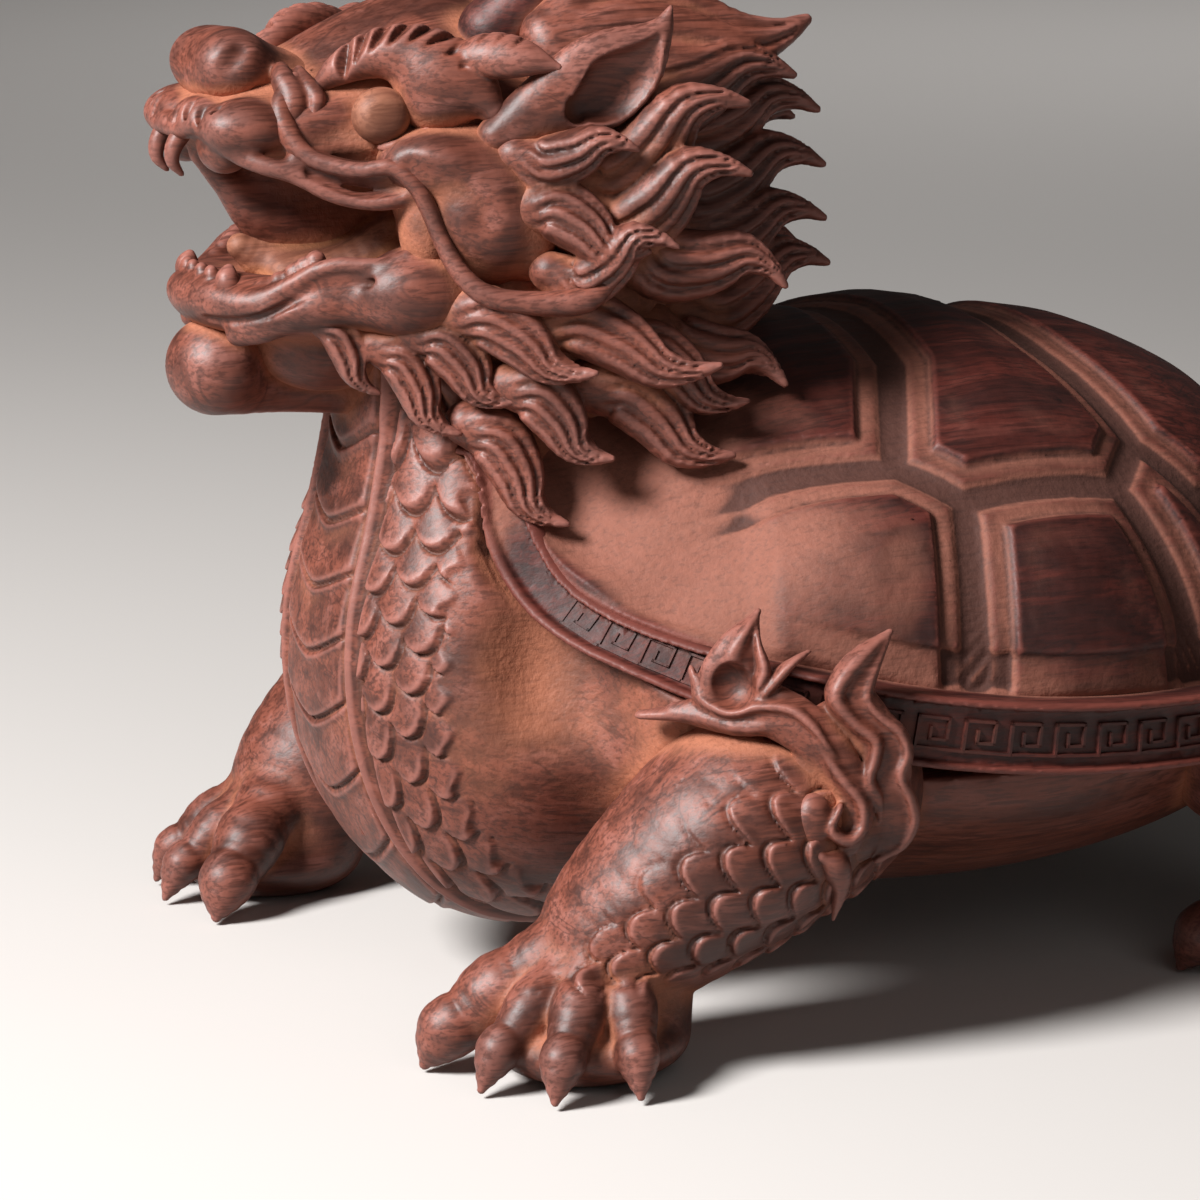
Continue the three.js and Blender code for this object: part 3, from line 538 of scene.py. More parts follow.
for name, kind in (("Geometry", "Geometry"), ("Key", "Object"), ("Collar Shrink", "Float"),
                   ("Finish", "Material")):
    tree.interface.new_socket(name, in_out="INPUT", socket_type=f"NodeSocket{kind}")
tree.interface.new_socket("Geometry", in_out="OUTPUT", socket_type="NodeSocketGeometry")
given = add_node(tree, "NodeGroupInput").outputs
key_in = add_node(tree, "GeometryNodeObjectInfo", {"Object": given["Key"]}).outputs["Geometry"]
read = {}
for name, kind in (("turn", "FLOAT_VECTOR"), ("collar", "FLOAT")):
    reader = add_node(tree, "GeometryNodeInputNamedAttribute", {"Name": name}, data_type=kind)
    read[name] = reader.outputs["Attribute"]
loss = {0: read["collar"], 1: given["Collar Shrink"]}
lost = add_node(tree, "ShaderNodeMath", loss, operation="MULTIPLY").outputs[0]
size = add_node(tree, "ShaderNodeMath", {0: 1.0, 1: lost}, operation="SUBTRACT").outputs[0]
laid = {"Points": given["Geometry"], "Instance": key_in, "Rotation": read["turn"], "Scale": size}
on_seats = add_node(tree, "GeometryNodeInstanceOnPoints", laid).outputs["Instances"]
real = add_node(tree, "GeometryNodeRealizeInstances", {"Geometry": on_seats}).outputs["Geometry"]
finish = {"Geometry": real, "Material": given["Finish"]}
finished = add_node(tree, "GeometryNodeSetMaterial", finish).outputs["Geometry"]
add_node(tree, "NodeGroupOutput", {"Geometry": finished})
modifier = fret.modifiers.new("fret", "NODES")
modifier.node_group = tree
sockets = {item.name: item.identifier for item in tree.interface.items_tree if item.in_out == "INPUT"}
modifier[sockets["Key"]] = key_object
modifier[sockets["Collar Shrink"]] = KEY_SHRINK
modifier[sockets["Finish"]] = polished_rosewood
result = bpy.data.meshes.new_from_object(fret.evaluated_get(bpy.context.evaluated_depsgraph_get()))
fret.modifiers.remove(modifier)
fret.data = result
bpy.data.objects.remove(key_object)
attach(fret, "root")

# Chest
# Breast, neck and shoulder skin in one block of rosewood: pointed plates between two raised straps,
# rounded scales beside them, and skin by the collar that is hollowed and left from the gouge.
PLATE_PITCH = 6.6
STRAP_AT = 7.4  # mm from the middle plane
SCALE_ZONE = 19.5  # mm from the middle plane to the scales' outer edge
SCALE_LEAN = math.radians(24)  # the scales point down and a little outwards
ROWS_BEFORE = 60  # mm added along the rows of scales, so that all of them count up from zero


def scale_height(across, down, pitch, row):
    """Overlapping scales, each thickest at its rounded free edge: 0 at a root, about 1 at an edge."""
    LENGTH = 1.65  # rows that a scale reaches over
    height = np.zeros_like(down)
    covered = np.zeros(down.shape, bool)
    line_cut = np.zeros_like(down)
    for back in (1, 0):
        line = np.floor(down / row) - back
        shift = 0.5 * pitch * np.mod(line, 2)
        side = (across - shift) - pitch * np.round((across - shift) / pitch)
        reach = (down - line * row) / row
        edge = LENGTH - (LENGTH - 1) * (2 * np.abs(side) / pitch) ** 2.4
        here = (reach < edge) & ~covered
        crown = 0.2 * (1 - (2 * side / pitch) ** 2)
        lip = smoothstep(0, 0.12, edge - reach)
        height = np.where(here, lip * (0.7 * reach / LENGTH + crown), height)
        line_cut = np.maximum(line_cut, np.where(covered | here, 0, smoothstep(0.14, 0.02, reach - edge)))
        covered |= here
    return height - 0.3 * line_cut


def hump(value, at, width):
    """A soft bump, 1 where the value is `at`."""
    return np.exp(-(((value - at) / width) ** 2))


def turned(a, b, angle):
    return a * math.cos(angle) - b * math.sin(angle), b * math.cos(angle) + a * math.sin(angle)


def chest_relief(x, y, z):
    """The plates in the middle, the strap beside them and the scales outside it, on the front only."""
    down = -24 * np.arctan2(z - 38, -(y + 38))
    strap = STRAP_AT + 0.05 * down
    bow = 2.8 * (1 - np.clip(x / strap, 0, 1) ** 1.4)
    plate = np.mod((down - bow) / PLATE_PITCH, 1)
    line = hump(plate, 0.985, 0.03) + hump(plate, -0.015, 0.03)
    plates = 0.5 * plate + 0.3 * hump(plate, 0.09, 0.06) - 0.6 * line - 0.2
    aside = x - strap
    cord = 0.55 * hump(aside, 1.1, 0.55) - 0.6 * hump(aside, -0.1, 0.35) - 0.6 * hump(aside, 2.2, 0.35)
    arc = x * (1 + 0.25 * (x / 25) ** 2)
    u, v = turned(arc, down, SCALE_LEAN)
    scales = 1.15 * scale_height(u, v + ROWS_BEFORE, 5.2, 4.1) - 0.35
    edge = SCALE_ZONE - 0.004 * (down - 8) ** 2 + 0.5 * np.sin(down * 1.4)
    in_scales = smoothstep(edge + 0.3, edge - 0.2, x) * smoothstep(2.0, 2.6, aside)
    in_plates = smoothstep(0.1, -0.4, aside)
    front = smoothstep(-36, -42, y)
    return front * (in_plates * plates + in_scales * scales + smoothstep(-2, 0, aside) * cord)


def fit_to_shell(block):
    """Cuts away what lies in the band, in the shell or over the band's lip, with room at the band."""
    ROOM_AT_RIM = 0.1
    SEAT_IN_DOME = 0.6
    block.cut((*RIM_ROOM, lambda x, y, z: rim(x, y, z) - ROOM_AT_RIM), 0.8)
    block.cut((*COLLAR_ROOM, above_lip), 0.6)
    block.cut((*RIM_ROOM, lambda x, y, z: dome(x, y, z) + SEAT_IN_DOME))


chest = Block([0, -68, 4], [40, -16, 86], 0.23)
chest.add(ball([0, -43.6, 34], [25.5, 18.6, 27]))
chest.add(ball([0, -34, 22.5], [21, 19, 16]), 6)
chest.add(ball([0, -45, 58], [16, 12.5, 16]), 7)
chest.add(ball([0, -45, 72], [13.5, 11.5, 13]), 6)
chest.add(ball([21, -31, 33], [14.5, 12, 14]), 5)
chest.cut(ball([27.5, -48, 38.5], [6.5, 5.5, 9]), 5)
chest.cut(ball([31.5, -45.5, 32.5], [5.5, 5, 6.5]), 4)
fit_to_shell(chest)
chest.emboss(chest_relief)
carve_out("chest", chest.mirrored())

# Legs
# Four stout legs of rosewood, dowelled to the belly, each one block with its foot: toes with knuckles
# and claws, deep troughs between them, flat soles, and scales that fade towards the shin.
LEG_SCALE_LEAN = 0.62  # radians
THINNEST = 0.15  # mm, the least radius of a limb
LEG_GIRTH = 9.5  # mm, the radius that the scales are laid out on


def unit(vector):
    return vector / np.linalg.norm(vector)


def sampled(stations, count):
    """Points on a smooth curve through the stations, with whatever else a station holds."""
    rows = np.array(stations, np.float32)
    ends = np.vstack([2 * rows[0] - rows[1], rows, 2 * rows[-1] - rows[-2]])
    t = np.linspace(0, len(rows) - 1, count)
    i = np.minimum(t.astype(int), len(rows) - 2)
    f = (t - i)[:, None]
    a, b, c, d = (ends[i + k] for k in range(4))
    bend, swing = 2 * a - 5 * b + 4 * c - d, 3 * b - a - 3 * c + d
    curve = 0.5 * (2 * b + (c - a) * f + bend * f**2 + swing * f**3)
    curve[:, 3:] = np.maximum(curve[:, 3:], THINNEST)
    return curve.astype(np.float32)


def limb(stations, count=12):
    """A round limb through stations of x, y, z and radius."""
    rows = sampled(stations, count)

    def distance(x, y, z):
        best = None
        for a, b in zip(rows, rows[1:]):
            share, dx, dy, dz = from_segment(x, y, z, a, b)
            gap = np.sqrt(dx * dx + dy * dy + dz * dz) - (a[3] + share * (b[3] - a[3]))
            best = gap if best is None else np.minimum(best, gap)
        return best

    return (rows[:, :3] - rows[:, 3:]).min(0), (rows[:, :3] + rows[:, 3:]).max(0), distance


# Along a toe: the share of its length, then height and radius in mm. Two knuckles, then the claw.
TOE_FORM = [(0.08, 10.6, 3.6), (0.3, 10.4, 3.5), (0.48, 9.0, 2.9), (0.62, 7.6, 3.1), (0.78, 5.2, 2.4),
            (0.88, 4.2, 2.5), (1.0, 0.9, 0.5)]
# The toes from the inside out: angle from the foot's own direction, length and stoutness.
TOES = [(-45, 18.2, 1.2), (-13, 16.6, 0.86), (15, 15.8, 0.88), (46, 13.4, 0.84)]


def toe(ankle, angle, length, stout):
    """One toe from the ankle outwards, at an angle in degrees from straight ahead."""
    x, y = ankle
    turn = math.radians(angle)
    across, forward = math.sin(turn) * length, -math.cos(turn) * length
    return limb([[x + across * t, y + forward * t, z, r * stout] for t, z, r in TOE_FORM], 18)


def leg(thigh, ankle, yaw, step_size=0.26):
    """A leg from its thigh stations to a foot at the ankle's place, turned out by yaw degrees."""
    x, y = ankle
    stations = [*thigh, [x, y + 1, 12.5, 8.2], [x, y, 8.0, 7.6]]
    spots = np.array([s[:3] for s in stations])
    low = np.minimum(spots.min(0) - 15, [x - 19, y - 23, 0])
    high = np.maximum(spots.max(0) + 15, [x + 19, y + 13, 12])
    low[2] = -2.5
    block = Block(low, high, step_size)
    block.add(limb(stations, 16))
    turn = math.radians(yaw)
    block.add(ball([x + 4 * math.sin(turn), y - 4 * math.cos(turn), 3.4], [8.6, 9.4, 3.8]), 3)
    for fan, length, stout in TOES:
        block.add(toe(ankle, yaw + fan, length, stout), 0.7)
    top = np.array(thigh[0][:3])
    way = unit(np.array([x, y, 12.0]) - top)
    outward = unit(np.array([1.0, 0, 0]) - way[0] * way)
    behind = np.cross(way, outward)
    behind *= np.sign(behind[1])

    def leg_scales(px, py, pz):
        rel = [px - top[0], py - top[1], pz - top[2]]
        along, out, back = (sum(rel[k] * line[k] for k in range(3)) for line in (way, outward, behind))
        angle = np.arctan2(back, out)
        zone = smoothstep(-0.95, -0.45, angle) * smoothstep(2.6, 2.2, angle)
        zone = zone * smoothstep(-1.0, 2.5, along) * smoothstep(9.0, 11.5, pz)
        u, v = turned(along, -LEG_GIRTH * angle, LEG_SCALE_LEAN)
        return zone * (scale_height(u, v + ROWS_BEFORE, 3.9, 3.2) - 0.3)

    block.emboss(leg_scales)
    fit_to_shell(block)
    block.cut(below(0))
    return block


FORELEG = [[33, -23, 25, 10.8], [35.8, -31, 22.6, 11.0], [35.2, -38, 17.6, 9.8]]
HIND_LEG = [[32, 29, 25, 11.0], [37, 35, 19, 10.0]]
FORE_ANKLE = (34, -44.5)
HIND_ANKLE = (36, 38)
TURNED_OUT = 30  # degrees, all feet but the right forefoot
STEP_OUT = 4.0  # the right forefoot stands this much further out and forward
STEPPED_TURN = 6
STEP_SHARES = (0, 0.4, 0.8)  # of the step, that the thigh's stations take
foreleg_left = leg(FORELEG, FORE_ANKLE, TURNED_OUT)
carve_out("front_leg_left", foreleg_left)
stepped = [[x + STEP_OUT * k, y - STEP_OUT * k, z, r] for (x, y, z, r), k in zip(FORELEG, STEP_SHARES)]
foreleg_right = leg(stepped, (FORE_ANKLE[0] + STEP_OUT, FORE_ANKLE[1] - STEP_OUT), STEPPED_TURN)
carve_out("front_leg_right", foreleg_right, flipped=True)
carve_pair("hind_leg", leg(HIND_LEG, HIND_ANKLE, TURNED_OUT, 0.3))

# Shoulder and hip flames
# Flame scrolls of rosewood, glued on over the rim above each leg: a stem that sweeps back and down, a
# curled boss and strands that end in upright tongues.


def ribbon(stations, out, strands=0, depth=0.3, count=18):
    """A flat band through stations of x, y, z, half width and half thickness. Its face looks along `out`,
    and grooves divide it into strands."""
    rows = sampled(stations, count)
    tangents = np.gradient(rows[:, :3], axis=0)
    across = np.cross(np.array(out, np.float32), tangents)
    across /= np.maximum(np.linalg.norm(across, axis=1, keepdims=True), 1e-4)
    faces = np.cross(tangents, across)
    faces /= np.maximum(np.linalg.norm(faces, axis=1, keepdims=True), 1e-4)
    frames = np.hstack([rows, across, faces])

    def distance(x, y, z):
        nearest = value = None
        for k, (a, b) in enumerate(zip(frames, frames[1:])):
            share, dx, dy, dz = from_segment(x, y, z, a, b)
            gap = dx * dx + dy * dy + dz * dz
            wide, thick, *lines = (start + share * (end - start) for start, end in zip(a[3:], b[3:]))
            side = dx * lines[0] + dy * lines[1] + dz * lines[2]
            lift = dx * lines[3] + dy * lines[4] + dz * lines[5]
            ahead = np.maximum(gap - side * side - lift * lift, 0)
            u, v, w = side / wide, lift / thick, np.sqrt(ahead) / thick
            k0 = np.sqrt(u * u + v * v + w * w)
            k1 = np.sqrt((u / wide) ** 2 + (v / thick) ** 2 + (w / thick) ** 2)
            here = k0 * (k0 - 1) / np.maximum(k1, 1e-5)
            if strands:
                valley = (0.5 + 0.5 * np.cos(math.pi * strands * (u + 1))) ** 2.2
                t = (k + share) / (count - 1)
                valley = valley * smoothstep(0.0, 0.22, t) * smoothstep(0.98, 0.8, t)
                here = here + np.minimum(depth, 0.5 * thick) * valley * smoothstep(1.15, 0.85, np.abs(u))
            if value is None:
                nearest, value = gap, here
            else:
                closer = gap < nearest
                nearest = np.where(closer, gap, nearest)
                value = np.where(closer, here, value)
        return value

    wide = rows[:, 3:4] + rows[:, 4:5]
    return (rows[:, :3] - wide).min(0), (rows[:, :3] + wide).max(0), distance


# Each strand from end to end: x, y, z, half width and half thickness.
SHOULDER_STRANDS = [
    # the stem, which starts at the rim's lip and ends in a curl
    [[33, -40.8, 33.7, 0.47, 1.01], [36.2, -37.4, 34.1, 0.86, 1.68], [39.6, -34.1, 33.4, 1.01, 2.02],
     [42, -30.5, 33.7, 0.94, 2.02], [44, -28.4, 32.3, 0.86, 1.9], [45.6, -26.6, 29.2, 0.9, 1.9],
     [46.2, -24.7, 26.6, 0.86, 1.79], [46.4, -24.7, 24.2, 0.78, 1.68], [46.6, -26.4, 23.2, 0.7, 1.57],
     [46.6, -28, 24.4, 0.66, 1.46], [46.6, -27.4, 25.8, 0.47, 1.12]],
    # the upper stem, round the boss and down to the stem
    [[36.4, -37.4, 37.9, 0.39, 1.01], [37.4, -37, 35.9, 0.62, 1.46], [39.4, -35.2, 34.9, 0.7, 1.68],
     [41.2, -32.9, 35.6, 0.74, 1.79], [43, -30.5, 35.4, 0.74, 1.79], [44.4, -28.9, 33.9, 0.7, 1.79],
     [45.2, -27.4, 31.6, 0.55, 1.46]],
    # the first tongue, with the boss at its foot, and the small one behind it
    [[38.6, -35, 38, 1.17, 1.79], [39.2, -34.6, 40.4, 1.17, 1.68], [39.4, -33.6, 42.2, 0.7, 1.23],
     [38.8, -31.9, 43.9, 0.2, 0.45]],
    [[40.4, -33.2, 36.8, 0.62, 1.57], [41.2, -32.4, 38.8, 0.7, 1.46], [40.4, -32.6, 41.2, 0.39, 1.01],
     [39, -32.2, 43.2, 0.2, 0.45]],
    [[41.4, -32.2, 37, 0.62, 1.46], [42, -30.8, 38.8, 0.62, 1.34], [42.2, -29.6, 39.8, 0.39, 1.01],
     [41.6, -28, 40.3, 0.2, 0.45]],
    # the great tongue's two strands, which wave down to the hip of the leg
    [[44.2, -20.8, 42, 0.2, 0.45], [44.6, -23.8, 40.2, 0.86, 1.34], [44.8, -26.1, 38.1, 1.01, 1.68],
     [44.9, -26.7, 36.4, 1.01, 1.79], [45.4, -25.1, 34.2, 0.94, 1.79], [46, -23.2, 32.4, 0.9, 1.79],
     [46.2, -23.4, 30.5, 0.78, 1.68], [46.2, -23.9, 28.7, 0.7, 1.57], [46, -22.8, 26.8, 0.62, 1.34],
     [45.6, -22.3, 24.8, 0.31, 0.9]],
    [[44.6, -21.2, 41.2, 0.2, 0.45], [45.2, -23.2, 38.2, 0.62, 1.23], [45.5, -23.8, 36.2, 0.7, 1.57],
     [46, -22.5, 34.4, 0.74, 1.68], [46.4, -20.8, 33, 0.74, 1.68], [46.6, -20.1, 30.9, 0.74, 1.68],
     [46.6, -20.8, 28.9, 0.7, 1.57], [46.4, -19.6, 26.5, 0.7, 1.46], [46, -18.9, 24.1, 0.7, 1.34],
     [45.4, -19.8, 21.7, 0.62, 1.23], [45, -21.8, 20.5, 0.31, 0.78]],
    # the low leaf
    [[46, -28.8, 21.8, 0.7, 1.34], [46, -27.2, 20.6, 1.48, 1.57], [45.2, -26.2, 18.2, 0.94, 1.23],
     [44, -26.2, 14.9, 0.2, 0.45]],
]
# The broad ribbons that the strands lie on: x, y, z, half width and half thickness.
SHOULDER_RIBBONS = [
    [[38.0, -36.0, 35.6, 2.2, 1.3], [38.8, -34.9, 38.4, 2.6, 1.4], [39.2, -33.8, 41.2, 1.9, 1.2],
     [38.8, -32.0, 43.8, 0.3, 0.5]],
    [[35.4, -38.8, 34.4, 0.8, 0.9], [38.4, -35.6, 34.6, 1.9, 1.3], [41.4, -32.2, 35.2, 2.5, 1.4],
     [44.0, -28.8, 33.0, 2.4, 1.4], [45.6, -26.2, 29.4, 2.0, 1.3], [46.0, -25.0, 25.6, 1.8, 1.2],
     [45.8, -26.0, 22.4, 1.4, 1.0]],
    [[44.2, -20.8, 42.0, 0.3, 0.4], [44.7, -23.9, 39.4, 1.7, 1.1], [45.0, -25.2, 36.6, 2.3, 1.3],
     [45.6, -23.4, 33.4, 2.4, 1.3], [46.0, -21.8, 30.4, 2.4, 1.3], [45.9, -21.8, 27.2, 2.2, 1.2],
     [45.4, -20.8, 23.8, 1.7, 1.0], [44.8, -21.8, 20.6, 0.6, 0.7]],
]
# Rounded forms under and beside the ribbons: a centre and half sizes.
SHOULDER_FORMS = [
    ([45.8, -29.4, 25.2], [1.6, 1.9, 2.6]),
    ([43.4, -26.0, 30.0], [2.2, 4.5, 6.0]),
    ([44.2, -24.5, 23.6], [1.9, 4.0, 3.6]),
]
DISH = np.array([41.0, -35.6, 37.6])  # centre of the round cut that hollows the boss
DISH_SIZE = 2.3
FLAME_FACE = [1, -0.4, 0.1]
FLAME_CENTRE = np.array([42.0, -28.0, 32.0])
TO_HIP = np.array([1.0, 60.0, -2.0])  # from a shoulder's flame to the hip's
HIP_SHARE = 0.8


def flame(shift, share):
    """The flame at a share of the shoulder's size, moved by shift."""

    def moved(spot):
        return FLAME_CENTRE + (np.array(spot) - FLAME_CENTRE) * share + shift

    def moved_line(line):
        return [[*moved(s[:3]), s[3] * share, s[4] * share] for s in line]

    placed = [moved_line(strand) for strand in SHOULDER_STRANDS]
    spots = np.array([s[:3] for strand in placed for s in strand])
    block = Block(spots.min(0) - 6, spots.max(0) + 6, 0.22)
    for spot, sizes in SHOULDER_FORMS:
        block.add(ball(moved(spot), np.array(sizes) * share), 0.5)
    for band in SHOULDER_RIBBONS:
        block.add(ribbon(moved_line(band), FLAME_FACE, count=20), 0.3)
    for strand in placed:
        block.add(ribbon(strand, FLAME_FACE, count=32), 0.4)
    block.cut(ball(moved(DISH), [DISH_SIZE * share] * 3), 0.3)
    return block


carve_pair("shoulder_flame", flame(np.zeros(3), 1.0))
carve_pair("hip_flame", flame(TO_HIP, HIP_SHARE))

# Tail
# A short tail of rosewood, glued and dowelled under the rear of the shell. It has small scales up to
# where it curls, and tapers to a plain point.
TAIL_GIRTH = 5.5  # mm, the radius that its scales are laid out on
tail = Block([-12, 38, 6], [12, 78, 44], 0.33)
tail.add(limb([[0, 44, 21, 6.6], [0, 56, 15.5, 5.6], [0, 66, 16.5, 4.2], [0, 70, 23, 2.9],
               [0, 68, 31, 0.9]], 20))


def tail_scales(x, y, z):
    down = y + 0.4 * z
    zone = smoothstep(48, 52, y) * smoothstep(24, 20, z)
    around = TAIL_GIRTH * np.arctan2(x, z - 14 - 0.02 * y)
    return zone * (0.6 * scale_height(around, down, 4.2, 3.4) - 0.15)


tail.emboss(tail_scales)
carve_out("tail", tail)

# Skull
# Cranium, muzzle and upper lip from one block of rosewood. The mouth is hollowed out under the muzzle,
# the lip hangs over it in waves, and the eye sockets are sunk with a gouge.
skull = Block([0, -82, 66], [26, -30, 106], 0.27)
skull.add(ball([0, -48.5, 87.5], [16, 15, 11]))
skull.add(ball([0, -50, 79], [14.5, 7, 9]), 3)
skull.add(ball([0, -60, 88], [13.4, 13, 5.4]), 4)
skull.add(ball([0, -68.5, 88.2], [9.6, 6.2, 3.2]), 3)
skull.add(limb([[0, -64, 90.5, 3.6], [0, -57, 93, 4.5], [0, -49, 95.5, 5]], 8), 3)
skull.cut(ball([0, -66, 78.6], [11.4, 13.5, 6.2]), 2)
skull.cut(ball([16.8, -60, 90.4], [4.6, 5.6, 4.4]), 1.5)
skull.cut(ball([14.8, -64.4, 87.6], [3.0, 3.6, 1.8]), 1.5)
skull.add(limb([[0, -72.4, 84.8, 1.0], [0, -69.8, 81.6, 1.2], [0, -66.4, 78.6, 1.6],
                [0, -58, 76.0, 2.4]], 10), 1.5)
skull.add(ball([0, -57.5, 80.5], [2.0, 12, 7.5]), 1.5)
skull.add(ball([15.4, -55.6, 79.2], [2.7, 2.6, 5.2]), 1.5)
UPPER_LIP = [
    [0, -75.6, 88.0, 1.1], [3, -75.3, 87.9, 1.1], [5.6, -74.6, 88.3, 1.0], [7.6, -73.5, 87.5, 0.9],
    [9.3, -72.2, 85.9, 0.9], [11, -70.2, 84.9, 0.9], [12, -68.2, 84.3, 0.9], [12.7, -66.5, 83.5, 0.9],
    [13.5, -64.6, 82.4, 0.9], [14.5, -62.3, 81.7, 0.9], [15.5, -59.8, 81.6, 1.0],
    [16.2, -57.6, 82.2, 1.1],
]
skull.add(limb(UPPER_LIP, 36), 0.7)
skull.add(ball([8.0, -70.6, 88.2], [3.6, 4.6, 2.8]), 0.8)
skull.add(ball([3.4, -73.6, 89.0], [3.6, 2.4, 1.9]), 0.7)
skull.add(ball([5.4, -72.0, 86.2], [3.0, 2.6, 2.6]), 0.8)
skull.add(limb([[11.6, -67, 85.4, 1.1], [13.6, -61.6, 84.0, 1.2], [15.4, -57.4, 84.2, 1.5]], 10), 1.0)
skull.cut(limb([[13.4, -66.2, 84.3, 0.6], [15.0, -62.2, 82.9, 0.9], [16.8, -59.0, 83.0, 0.8]], 10), 0.6)
for fold in range(5):
    y = -75.8 + 0.35 * fold**1.4
    x = 1.0 + 1.75 * fold
    skull.cut(limb([[x, y + 0.6, 91.2, 0.35], [x + 0.25, y - 0.5, 89.6, 0.4],
                    [x + 0.4, y - 0.6, 88.4, 0.2]], 6), 0.35)
LOWER_LID = [[14.4, -59.8, 86.5, 0.3], [15.2, -58.8, 86.6, 0.6], [15.6, -57.2, 87.0, 0.6],
             [15.8, -55.3, 88.2, 0.3]]
skull.add(limb(LOWER_LID, 16), 0.9)
carve_out("skull", skull.mirrored())

# Nose
# One broad round nose of rosewood, glued to the muzzle, with a shallow cleft in front and two curved
# wings behind each nostril.
nose = Block([0, -80, 84], [15, -58, 102], 0.25)
nose.add(ball([0, -69.6, 93.0], [6.2, 4.3, 4.0]))
nose.add(ball([3.6, -70.4, 93.6], [3.2, 3.6, 3.2]), 1.2)
nose.add(ball([0, -65, 91.8], [6, 5, 3.0]), 2)
nose.cut(limb([[0, -75, 95, 0.5], [0, -75, 91, 0.5]], 4), 1.0)
nose.cut(limb([[4.6, -76.0, 92.4, 0.6], [6.8, -74.4, 92.6, 0.9], [7.2, -72.6, 93.6, 0.9],
               [6.4, -70.6, 95.4, 0.5]], 10), 1.2)
nose.add(limb([[6.4, -66.6, 93.2, 0.9], [8.2, -67.0, 92.4, 1.2], [9.6, -66.6, 90.6, 1.5],
               [10.2, -67.3, 88.6, 1.0]], 12), 0.4)
nose.add(limb([[7.6, -65.2, 93.2, 0.6], [9.4, -65.0, 92.0, 0.9], [10.6, -64.6, 90.8, 0.9],
               [11.2, -65.2, 89.4, 0.4]], 12), 0.4)
nose.cut(limb([[6.6, -68.6, 91.0, 1.0], [9.6, -70.2, 91.4, 1.3]], 4), 0.4)
carve_out("nose", nose.mirrored())

# Eyes
# Plain round bosses of bare rosewood, glued into the sockets. A shallow cut flattens the outer side
# of each.
eye = Block([8, -66, 83], [20, -53, 97], 0.2)
eye.add(ball([13.9, -59.4, 89.4], [2.3, 2.9, 2.7]))
eye.cut(ball([17.6, -60.2, 89.8], [1.6, 3.4, 3.2]), 0.8)
carve_pair("eye", eye, bare_rosewood)

# Brows
# A thick arched brow of rosewood over each eye, glued to the skull. Its upper edge is notched into flame
# points with a V-tool, and a smaller notched tuft stands behind it.
BROW_LINE = [[8.4, -64.0, 91.4, 0.5, 0.8], [9.8, -62.4, 93.2, 1.4, 1.5],
             [11.2, -60.2, 94.6, 2.1, 2.0], [12.5, -57.9, 95.2, 2.6, 2.3],
             [13.9, -55.2, 94.9, 3.0, 2.4], [15.6, -52.8, 93.7, 2.9, 2.3], [17, -51, 92, 2.3, 2.0],
             [18, -49.8, 90.0, 1.3, 1.4]]
BROW_TUFT = [[15.6, -52.6, 94.4, 1.4, 1.4], [18, -50, 95.0, 2.3, 1.7], [20, -47.4, 94.8, 1.9, 1.5],
             [21.6, -44.6, 94, 0.4, 0.5]]
BROW_FACE = np.array([0.85, -0.1, 0.45])
V_TOOL = math.radians(36)  # half the tool's angle


def v_cut(foot, top, outward, half_angle):
    """A V-shaped cut that deepens along the line from its foot to its top."""
    length = np.linalg.norm(top - foot)
    way = unit(top - foot)
    side = unit(np.cross(way, outward))
    rise = np.cross(side, way)

    def distance(x, y, z):
        rel = [x - foot[0], y - foot[1], z - foot[2]]
        along, across, up = (sum(rel[k] * line[k] for k in range(3)) for line in (way, side, rise))
        groove = np.abs(across) * math.cos(half_angle) - up * math.sin(half_angle)
        return np.maximum(groove, np.abs(along - 0.5 * length) - 0.5 * length)

    return np.minimum(foot, top) - 2, np.maximum(foot, top) + 2, distance


def notch(block, line, share, depth, slant):
    """A V-cut across the upper edge of a ribbon, sloping forward as it goes down its face."""
    rows = sampled(line, 101)
    at = round(share * 100)
    way = unit(rows[at + 1, :3] - rows[at - 1, :3])
    up = unit(np.cross(BROW_FACE, way))
    face = np.cross(way, up)
    x, y, z, wide, thick = rows[at]
    centre = np.array([x, y, z])
    start = wide - depth
    bulge = math.sqrt(max(1 - (start / wide) ** 2, 0))
    foot = centre + up * start + face * thick * bulge - way * slant
    top = centre + up * (wide + 0.4) - face * 0.15 * thick + way * slant
    block.cut(v_cut(foot, top, face, V_TOOL), 0.1)


brow = Block([2, -70, 84], [27, -42, 104], 0.22)
brow.add(ribbon(BROW_LINE, BROW_FACE, count=30))
brow.add(ball([14.2, -53.6, 91.4], [3.6, 4.2, 4.2]), 2.0)
for share in np.linspace(0.22, 0.8, 8):
    notch(brow, BROW_LINE, share, 3.4, 1.0)
brow.add(ribbon(BROW_TUFT, BROW_FACE), 0.3)
for share in (0.3, 0.46, 0.62):
    notch(brow, BROW_TUFT, share, 1.9, 0.5)
carve_pair("brow", brow)

